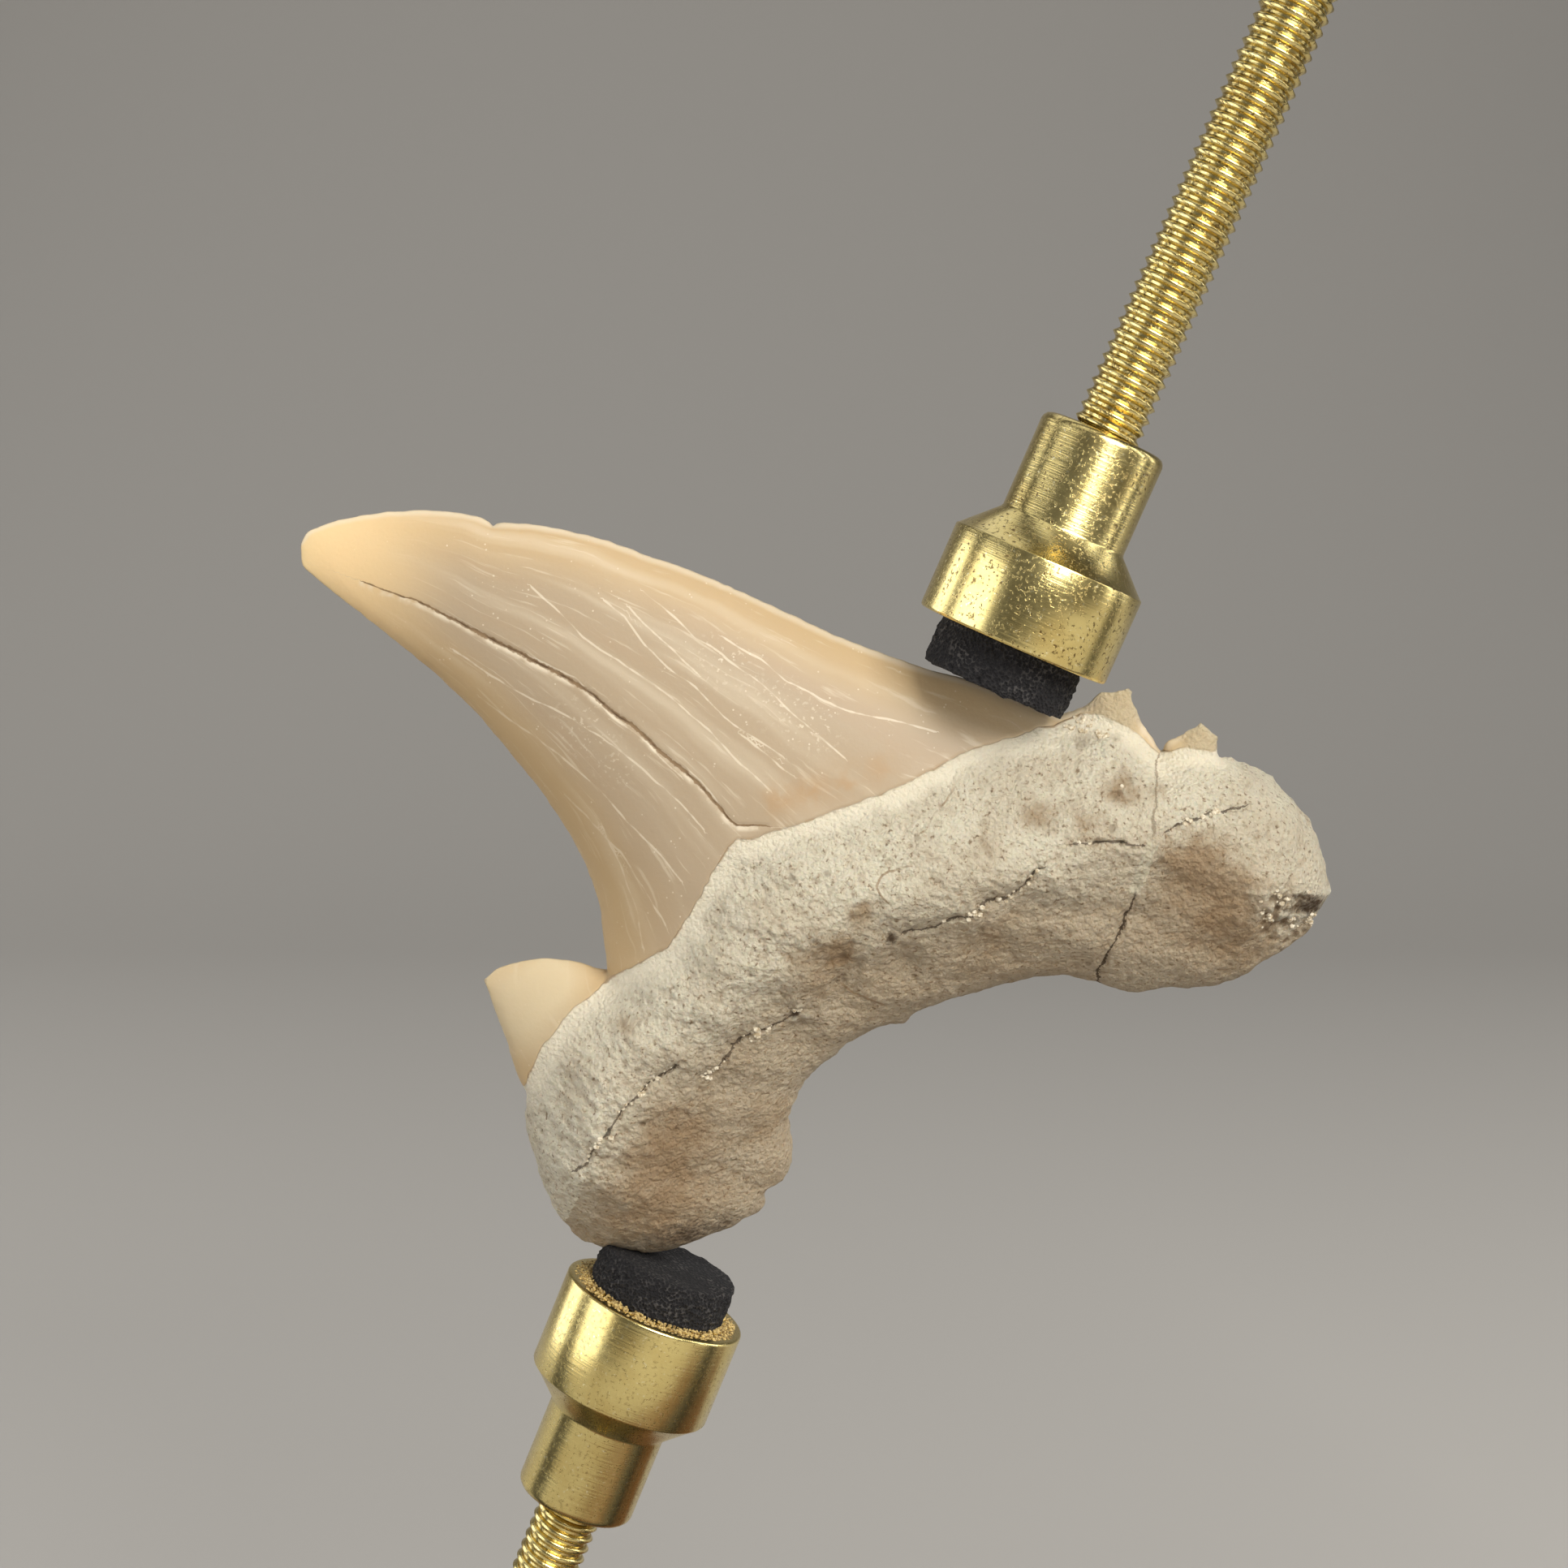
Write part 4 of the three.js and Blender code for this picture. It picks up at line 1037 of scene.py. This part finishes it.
knob = {
    "ends": (68.4, 78.4),
    "radius": 6.5,
    "edge": [(0.9, 0.0), (0.2, 0.35), (0.0, 0.8)],
    "bore": 2.0,
    "ridges": 64,
    "ridge": 0.32,
    "ridgeEnd": 0.95,
}


# Straight knurling: one ridge stood in a ring of copies about the knob
def knurlTree():
    tree, given = newTree("straight knurl", {
        "Count": "Int", "Radius": "Float", "Ridge": "Float", "Length": "Float", "Middle": "Float",
    })
    circle = addNode(tree, "GeometryNodeMeshCircle", {"Vertices": given["Count"], "Radius": given["Radius"]})
    ridge = addNode(tree, "GeometryNodeMeshCylinder", {
        "Vertices": 4, "Radius": given["Ridge"], "Depth": given["Length"],
    }, "Mesh")
    outwards = addNode(tree, "FunctionNodeAlignRotationToVector", {
        "Vector": addNode(tree, "GeometryNodeInputPosition"),
    }, axis="X")
    copies = addNode(tree, "GeometryNodeInstanceOnPoints", {
        "Points": circle, "Instance": ridge, "Rotation": outwards,
    })
    raised = addNode(tree, "GeometryNodeTransform", {
        "Geometry": copies, "Translation": addNode(tree, "ShaderNodeCombineXYZ", {"Z": given["Middle"]}),
    })
    finishTree(tree, given, [given["Geometry"], raised])
    return tree


def buildKnob():
    bottom, top = knob["ends"]
    inner, bore = knob["radius"] - knob["ridge"], knob["bore"]
    lower = [(inner - inwards, bottom + up) for inwards, up in knob["edge"]]
    upper = [(inner - inwards, top - down) for inwards, down in reversed(knob["edge"])]
    profile = [(bore, bottom)] + lower + upper + [(bore, top), (bore, bottom)]
    piece = meshObject("knurled_knob", *turnedShape(profile))
    runTree(piece, knurlTree(), {
        "Count": knob["ridges"],
        "Radius": inner * mm,
        "Ridge": knob["ridge"] * mm,
        "Length": (top - bottom - 2 * knob["ridgeEnd"]) * mm,
        "Middle": (top + bottom) / 2 * mm,
        "Material": brassUpper,
    })
    piece.data.transform(upperFrame)
    return piece


finishPiece(buildKnob(), brassUpper, "clamp", "clamp_knob")

nut = {
    "ends": (40.95, 44.15),
    "across": 7.0,
    "bore": 2.0,
    "chamferShare": 0.96,
    "chamferAngle": 30.0,
}


# A hexagon nut: each edge is cut back by a chamfer cone, which leaves the curved lines on its flats
def buildNut(steps=96):
    bottom, top = nut["ends"]
    half, bore = nut["across"] / 2, nut["bore"]
    flat = half * nut["chamferShare"]
    points, faces = [], []
    for k in range(steps):
        angle = k * 2 * math.pi / steps
        corner = half / math.cos((angle % (math.pi / 3)) - math.pi / 6)
        drop = (corner - flat) * math.tan(math.radians(nut["chamferAngle"]))
        section = [(bore, bottom), (flat, bottom), (corner, bottom + drop), (corner, top - drop),
                   (flat, top), (bore, top)]
        points += [(r * math.cos(angle), r * math.sin(angle), z) for r, z in section]
        here, there = k * 6, (k + 1) % steps * 6
        faces += [[here + n, there + n, there + (n + 1) % 6, here + (n + 1) % 6] for n in range(6)]
    return meshObject("hexagon_nut", points, faces, lowerFrame, 20)


finishPiece(buildNut(), brassLower, "stand", "lower_nut")
print("stage: knob and nut built")

pads = {
    "radius": 4.0,
    "upperHeight": 2.5,
    "lowerHeight": 2.3,
    "leastHeight": 0.35,
    "gap": 0.02,  # left to the cap and to the tooth
    "edgeRounding": 0.12,
    "gluedRounding": 0.1,
    "edgeTightness": 20,
    "flare": 0.02,
    "raggedEdge": 0.06,
    "raggedWall": 0.014,
    "bulge": 0.012,
    "cell": 0.17,
    "patch": 2.0,
    "color": "#151315",
    "speckle": "#5c5855",
}


# Black open-cell foam, cut from sheet: no shine, with cells as small hollows
def foamMaterial():
    material, tree = newMaterial("black open-cell foam")
    local = localMillimetres(tree)
    cells = addNode(tree, "ShaderNodeTexVoronoi", {"Vector": local, "Scale": 1 / pads["cell"]}, "Distance")
    patchy = addNode(tree, "ShaderNodeTexNoise", {"Vector": local, "Scale": 1 / pads["patch"], "Detail": 3.0})
    color = layeredColor(tree, pads["color"], [
        (pads["speckle"], (cells, 0.55, 0.8), (patchy, 0.42, 0.62, 0.1, 0.6)),
    ], curve="LINEAR")
    bump = addNode(tree, "ShaderNodeBump", {"Height": cells, "Strength": 1.0, "Distance": 0.15 * mm})
    finishMaterial(tree, {"Base Color": color, "Roughness": 0.95, "Normal": bump})
    return material


# A foam disc under the cap's face, pressed to the shape of the tooth where they meet
def buildPad(name, height, matrix, toothTree, seed, spokes=144, rows=24, levels=12):
    inverse = matrix.inverted()
    down = matrix.to_3x3() @ Vector((0, 0, -1))
    rng = np.random.default_rng(seed)
    ragged = pads["raggedEdge"] * rng.standard_normal(spokes)
    ragged = (ragged + np.roll(ragged, 1) + np.roll(ragged, -1)) / 2
    above, reach = 6.0, 20.0

    # The free face stops at the tooth, but never leaves the foam thinner than it can be pressed
    def freeFace(x, y, depth):
        hit = toothTree.ray_cast(matrix @ (Vector((x, y, above)) * mm), down, reach * mm)[0]
        stopped = -depth if hit is None else max(-depth, (inverse @ hit).z / mm + pads["gap"])
        return min(stopped, -pads["leastHeight"])

    points, faces = [], []
    for onTooth in (False, True):
        for row in range(rows + 1):
            share = row / rows
            rounded = share ** pads["edgeTightness"]
            radius = pads["radius"] * math.sin(math.pi / 2 * share) * (1.0 + pads["flare"] * share)
            for spoke in range(spokes):
                angle = 2 * math.pi * spoke / spokes
                x, y = radius * math.cos(angle), radius * math.sin(angle)
                depth = height + pads["edgeRounding"] * (1 - rounded) + ragged[spoke] * share**3
                glued = -pads["gap"] - pads["gluedRounding"] * rounded
                points.append((x, y, freeFace(x, y, depth) if onTooth else glued))
    count, rim = spokes * (rows + 1), spokes * rows
    following = [(spoke + 1) % spokes for spoke in range(spokes)]
    for start in range(0, rim, spokes):
        for first in (start, count + start):
            faces += [[first + k, first + n, first + n + spokes, first + k + spokes]
                      for k, n in enumerate(following)]

    # The wall between the two rims swells a little, and is rough from being cut
    wall = [list(range(rim, rim + spokes))]
    for share in np.arange(1, levels) / levels:
        wall.append(list(range(len(points), len(points) + spokes)))
        for spoke in range(spokes):
            upper, lower = np.array(points[rim + spoke]), np.array(points[count + rim + spoke])
            x, y, z = upper * (1 - share) + lower * share
            out = 1 + pads["bulge"] * math.sin(math.pi * share) + pads["raggedWall"] * rng.standard_normal()
            points.append((x * out, y * out, z))
    wall.append(list(range(count + rim, count + rim + spokes)))
    for low, high in zip(wall, wall[1:]):
        faces += [[low[k], low[n], high[n], high[k]] for k, n in enumerate(following)]
    return meshObject(name, points, faces, matrix, 40)


toothTree = BVHTree.FromObject(toothPiece, bpy.context.evaluated_depsgraph_get())
foam = foamMaterial()
upperPad = buildPad("foam_pad_upper", pads["upperHeight"], upperFrame, toothTree, seed=3)
finishPiece(upperPad, foam, "clamp", "upper_pad")
lowerPad = buildPad("foam_pad_lower", pads["lowerHeight"], lowerFrame, toothTree, seed=4)
finishPiece(lowerPad, foam, "stand", "lower_pad")

# Dried glue round the lower pad, full of brass dust
glue = {
    "perSquareMillimetre": 40,
    "grain": 0.1,
    "seed": 7,
    "strip": [(-0.1, -0.14), (0.3, -0.02), (1.1, 0.06)],  # outwards from the pad's side, and up
    "dark": "#6f552e",
    "light": "#d8bd7c",
}


def buildGlue():
    strip = [(pads["radius"] + outwards, up) for outwards, up in glue["strip"]]
    piece = meshObject("glue_grit_lower", *turnedShape(strip, 96))
    runTree(piece, grit, {
        "Density": glue["perSquareMillimetre"] / mm**2, "Grain": glue["grain"] * mm, "Seed": glue["seed"],
        "Material": gritMaterial("dried glue and brass dust", glue["dark"], glue["light"]),
    })
    piece.data.transform(lowerFrame)
    return piece


glueRing = buildGlue()
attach(glueRing, "stand")
print("stage: pads and glue built")

hoop = {
    "inner": 76.0,
    "thickness": 4.0,
    "width": 20.0,
    "edge": 0.6,
    "color": "#1c1c1e",
    "peel": 0.45455,
}


# Matt black powder coat: a fine orange peel and a soft shine
def paintMaterial():
    material, tree = newMaterial("matt black powder coat")
    peel = addNode(tree, "ShaderNodeTexNoise", {
        "Vector": localMillimetres(tree), "Scale": 1 / hoop["peel"], "Detail": 2.0,
    })
    bump = addNode(tree, "ShaderNodeBump", {"Height": peel, "Strength": 0.3, "Distance": 0.05 * mm})
    finishMaterial(tree, {"Base Color": linearColor(hoop["color"]), "Roughness": 0.5, "Normal": bump})
    return material


def uprightRing(name, inner, outer, width, edge, segments=256):
    half = width / 2
    section = [(inner + edge, -half), (outer - edge, -half), (outer, -half + edge), (outer, half - edge),
               (outer - edge, half), (inner + edge, half), (inner, half - edge), (inner, -half + edge)]
    points, faces = [], []
    for k in range(segments):
        angle = 2 * math.pi * k / segments
        points += [(r * math.cos(angle), y, r * math.sin(angle)) for r, y in section]
        here, there = k * 8, (k + 1) % segments * 8
        faces += [[here + n, here + (n + 1) % 8, there + (n + 1) % 8, there + n] for n in range(8)]
    return meshObject(name, points, faces, Matrix.Translation(Vector(place["hoopCentre"]) * mm), 50)


def cutWith(piece, cutters):
    for cutter in cutters:
        modifier = piece.modifiers.new("cut", "BOOLEAN")
        modifier.operation = "DIFFERENCE"
        modifier.object = cutter
    bakeModifiers(piece)
    for cutter in cutters:
        bpy.data.objects.remove(cutter)


def buildHoop(clear=4.0):
    outer = hoop["inner"] + hoop["thickness"]
    piece = uprightRing("powder_coated_hoop", hoop["inner"], outer, hoop["width"], hoop["edge"])
    radius = rods["radius"] + rods["gap"]
    drills = []
    for face, matrix in ((place["upperFace"], upperFrame), (place["lowerFace"], lowerFrame)):
        axis = matrix.to_3x3() @ Vector((0, 0, 1))
        low = hoop["inner"] - Vector(face).dot(axis) - clear
        high = low + hoop["thickness"] + 2 * clear
        drill = turnedShape([(0, low), (radius, low), (radius, high), (0, high)], 48)
        drills.append(meshObject("drill", *drill, matrix))
    cutWith(piece, drills)
    return piece


finishPiece(buildHoop(), paintMaterial(), "stand", "hoop")

block = {
    "size": (120.0, 76.0, 20.0),
    "corner": 4.0,
    "bevel": 1.5,
    "heart": (0.0, 12.0, -30.0),  # the middle of the tree that the block was sawn from
    "stretch": 0.06,  # how much shorter the grain's patterns are taken along the block
    "warp": 9.0,
    "sizes": {"warp": 20.0, "ring": 10.0, "fibre": 1.1111, "pore": 0.41667},
    "light": "#7a5639",
    "dark": "#3f2918",
    "pore": "#24160c",
}


# Oiled walnut, sawn and rounded over: brown rings, long fibres and dark pores under a low shine
def walnutMaterial():
    material, tree = newMaterial("oiled walnut")
    local = localMillimetres(tree, Matrix.Translation(Vector(block["heart"]) * mm))
    grain = addNode(tree, "ShaderNodeMapping", {"Vector": local, "Scale": (block["stretch"], 1.0, 1.0)})
    scales = {name: 1 / size for name, size in block["sizes"].items()}
    warp = addNode(tree, "ShaderNodeTexNoise", {
        "Vector": grain, "Scale": scales["warp"], "Detail": 3.0,
    }, "Color")
    bent = addNode(tree, "ShaderNodeVectorMath", {
        0: warp, 1: [block["warp"]] * 3, 2: grain,
    }, operation="MULTIPLY_ADD")
    rings = addNode(tree, "ShaderNodeTexWave", {
        "Vector": bent, "Scale": scales["ring"], "Distortion": 3.0, "Detail": 4.0,
    }, "Fac", wave_type="RINGS", rings_direction="X")
    fibres = addNode(tree, "ShaderNodeTexNoise", {
        "Vector": grain, "Scale": scales["fibre"], "Detail": 6.0, "Roughness": 0.65,
    })
    pores = addNode(tree, "ShaderNodeTexNoise", {"Vector": grain, "Scale": scales["pore"], "Detail": 3.0})
    poreMask = productOf(tree, (pores, 0.6, 0.72, 0.0, 0.7), curve="LINEAR")
    color = layeredColor(tree, block["dark"], [
        (block["light"], (rings, 0.0, 0.7, 0.2, 1.0)),
        (block["dark"], (fibres, 0.42, 0.65, 0.0, 0.6)),
        (block["pore"], poreMask),
    ], curve="LINEAR")
    bump = addNode(tree, "ShaderNodeBump", {
        "Height": poreMask, "Strength": 0.3, "Distance": 0.1 * mm,
    }, invert=True)
    finishMaterial(tree, {"Base Color": color, "Roughness": 0.42, "Normal": bump})
    return material


def buildBlock():
    length, depth, height = (side * mm for side in block["size"])
    mesh = bpy.data.meshes.new("walnut_block")
    work = bmesh.new()
    sized = Matrix.Translation((0, 0, height / 2)) @ Matrix.Diagonal((length, depth, height, 1))
    bmesh.ops.create_cube(work, size=1, matrix=sized)

    def rise(edge):
        return abs(edge.verts[0].co.z - edge.verts[1].co.z)

    upright = [edge for edge in work.edges if rise(edge) > mm]
    bmesh.ops.bevel(work, geom=upright, offset=block["corner"] * mm, segments=8, affect="EDGES", profile=0.5)
    level = [edge for edge in work.edges if rise(edge) < mm / 10]
    bmesh.ops.bevel(work, geom=level, offset=block["bevel"] * mm, segments=4, affect="EDGES", profile=0.5)
    work.to_mesh(mesh)
    work.free()
    piece = linkObject("walnut_block", mesh)
    outer, gap = hoop["inner"] + hoop["thickness"], rods["gap"]
    cutWith(piece, [uprightRing("pocket", hoop["inner"] / 2, outer + gap, hoop["width"] + 2 * gap, 0.01)])
    shadeSmooth(piece.data, 25)
    piece.modifiers.new("flat faces", "WEIGHTED_NORMAL").keep_sharp = True
    bakeModifiers(piece)
    return piece


finishPiece(buildBlock(), walnutMaterial(), "stand", "base")
print("stage: hoop and block built")

# A pale sweep of floor and backdrop, in metres
sweep = {
    "front": -2.0,
    "back": 0.9,
    "top": 2.5,
    "bend": 0.4,
    "halfWidth": 3.0,
    "color": "#a8a49e",
}


def buildSweep():
    bend, start = sweep["bend"], sweep["back"] - sweep["bend"]
    profile = [(sweep["front"], 0.0), (start, 0.0)]
    for angle in np.linspace(0, math.pi / 2, 16)[1:]:
        profile.append((start + bend * math.sin(angle), bend - bend * math.cos(angle)))
    profile.append((sweep["back"], sweep["top"]))
    points = [(x / mm, y / mm, z / mm) for y, z in profile for x in (-sweep["halfWidth"], sweep["halfWidth"])]
    faces = [[2 * k, 2 * k + 1, 2 * k + 3, 2 * k + 2] for k in range(len(profile) - 1)]
    material, tree = newMaterial("pale matt card")
    finishMaterial(tree, {"Base Color": linearColor(sweep["color"]), "Roughness": 0.9})
    piece = meshObject("pale_sweep", points, faces)
    piece.data.materials.append(material)


buildSweep()

# Soft boxes in metres and watts, all turned to the tooth; the fill lights it without being mirrored
lights = {
    "target": (-0.006, 0, 0.098),
    "boxes": {
        "key softbox": {"at": (0.22, -0.34, 0.36), "size": (0.26, 0.24), "power": 2.6, "color": "#fffdf8"},
        "overhead softbox": {"at": (-0.1, 0.1, 0.75), "size": (0.9, 0.8), "power": 1.8},
        "left softbox": {"at": (-0.58, -0.04, 0.27), "size": (1.0, 0.5), "power": 3.7},
        "right softbox": {"at": (0.6, 0.05, 0.27), "size": (0.35, 0.5), "power": 2.4},
        "front fill": {"at": (0.05, -0.55, 0.085), "size": (0.6, 0.14), "power": 0.9, "mirrored": False},
    },
    "room": 0.1,
}

for name, box in lights["boxes"].items():
    lamp = bpy.data.lights.new(name, "AREA")
    lamp.shape = "RECTANGLE"
    lamp.size, lamp.size_y = box["size"]
    lamp.energy = box["power"]
    lamp.color = linearColor(box.get("color", "#ffffff"))[:3]
    made = linkObject(name, lamp)
    made.location = box["at"]
    made.rotation_euler = (Vector(lights["target"]) - made.location).to_track_quat("-Z", "Y").to_euler()
    made.visible_glossy = box.get("mirrored", True)

world = bpy.data.worlds.new("soft room")
world.use_nodes = True
background = world.node_tree.nodes["Background"]
background.inputs["Color"].default_value = linearColor("#ffffff")
background.inputs["Strength"].default_value = lights["room"]
bpy.context.scene.world = world

view = {
    "at": (-6.0, -155.77, 115.69),
    "down": 6.57,
    "lens": 63.65,
    "sensor": 36.0,
}

camera = bpy.data.cameras.new("camera")
camera.lens = view["lens"]
camera.sensor_width = view["sensor"]
camera.clip_start = 0.01
cameraObject = linkObject("camera", camera)
cameraObject.location = Vector(view["at"]) * mm
cameraObject.rotation_euler = (math.radians(90 - view["down"]), 0, 0)
bpy.context.scene.camera = cameraObject
bpy.context.scene.view_settings.view_transform = "Standard"
print("stage: lights and camera set")
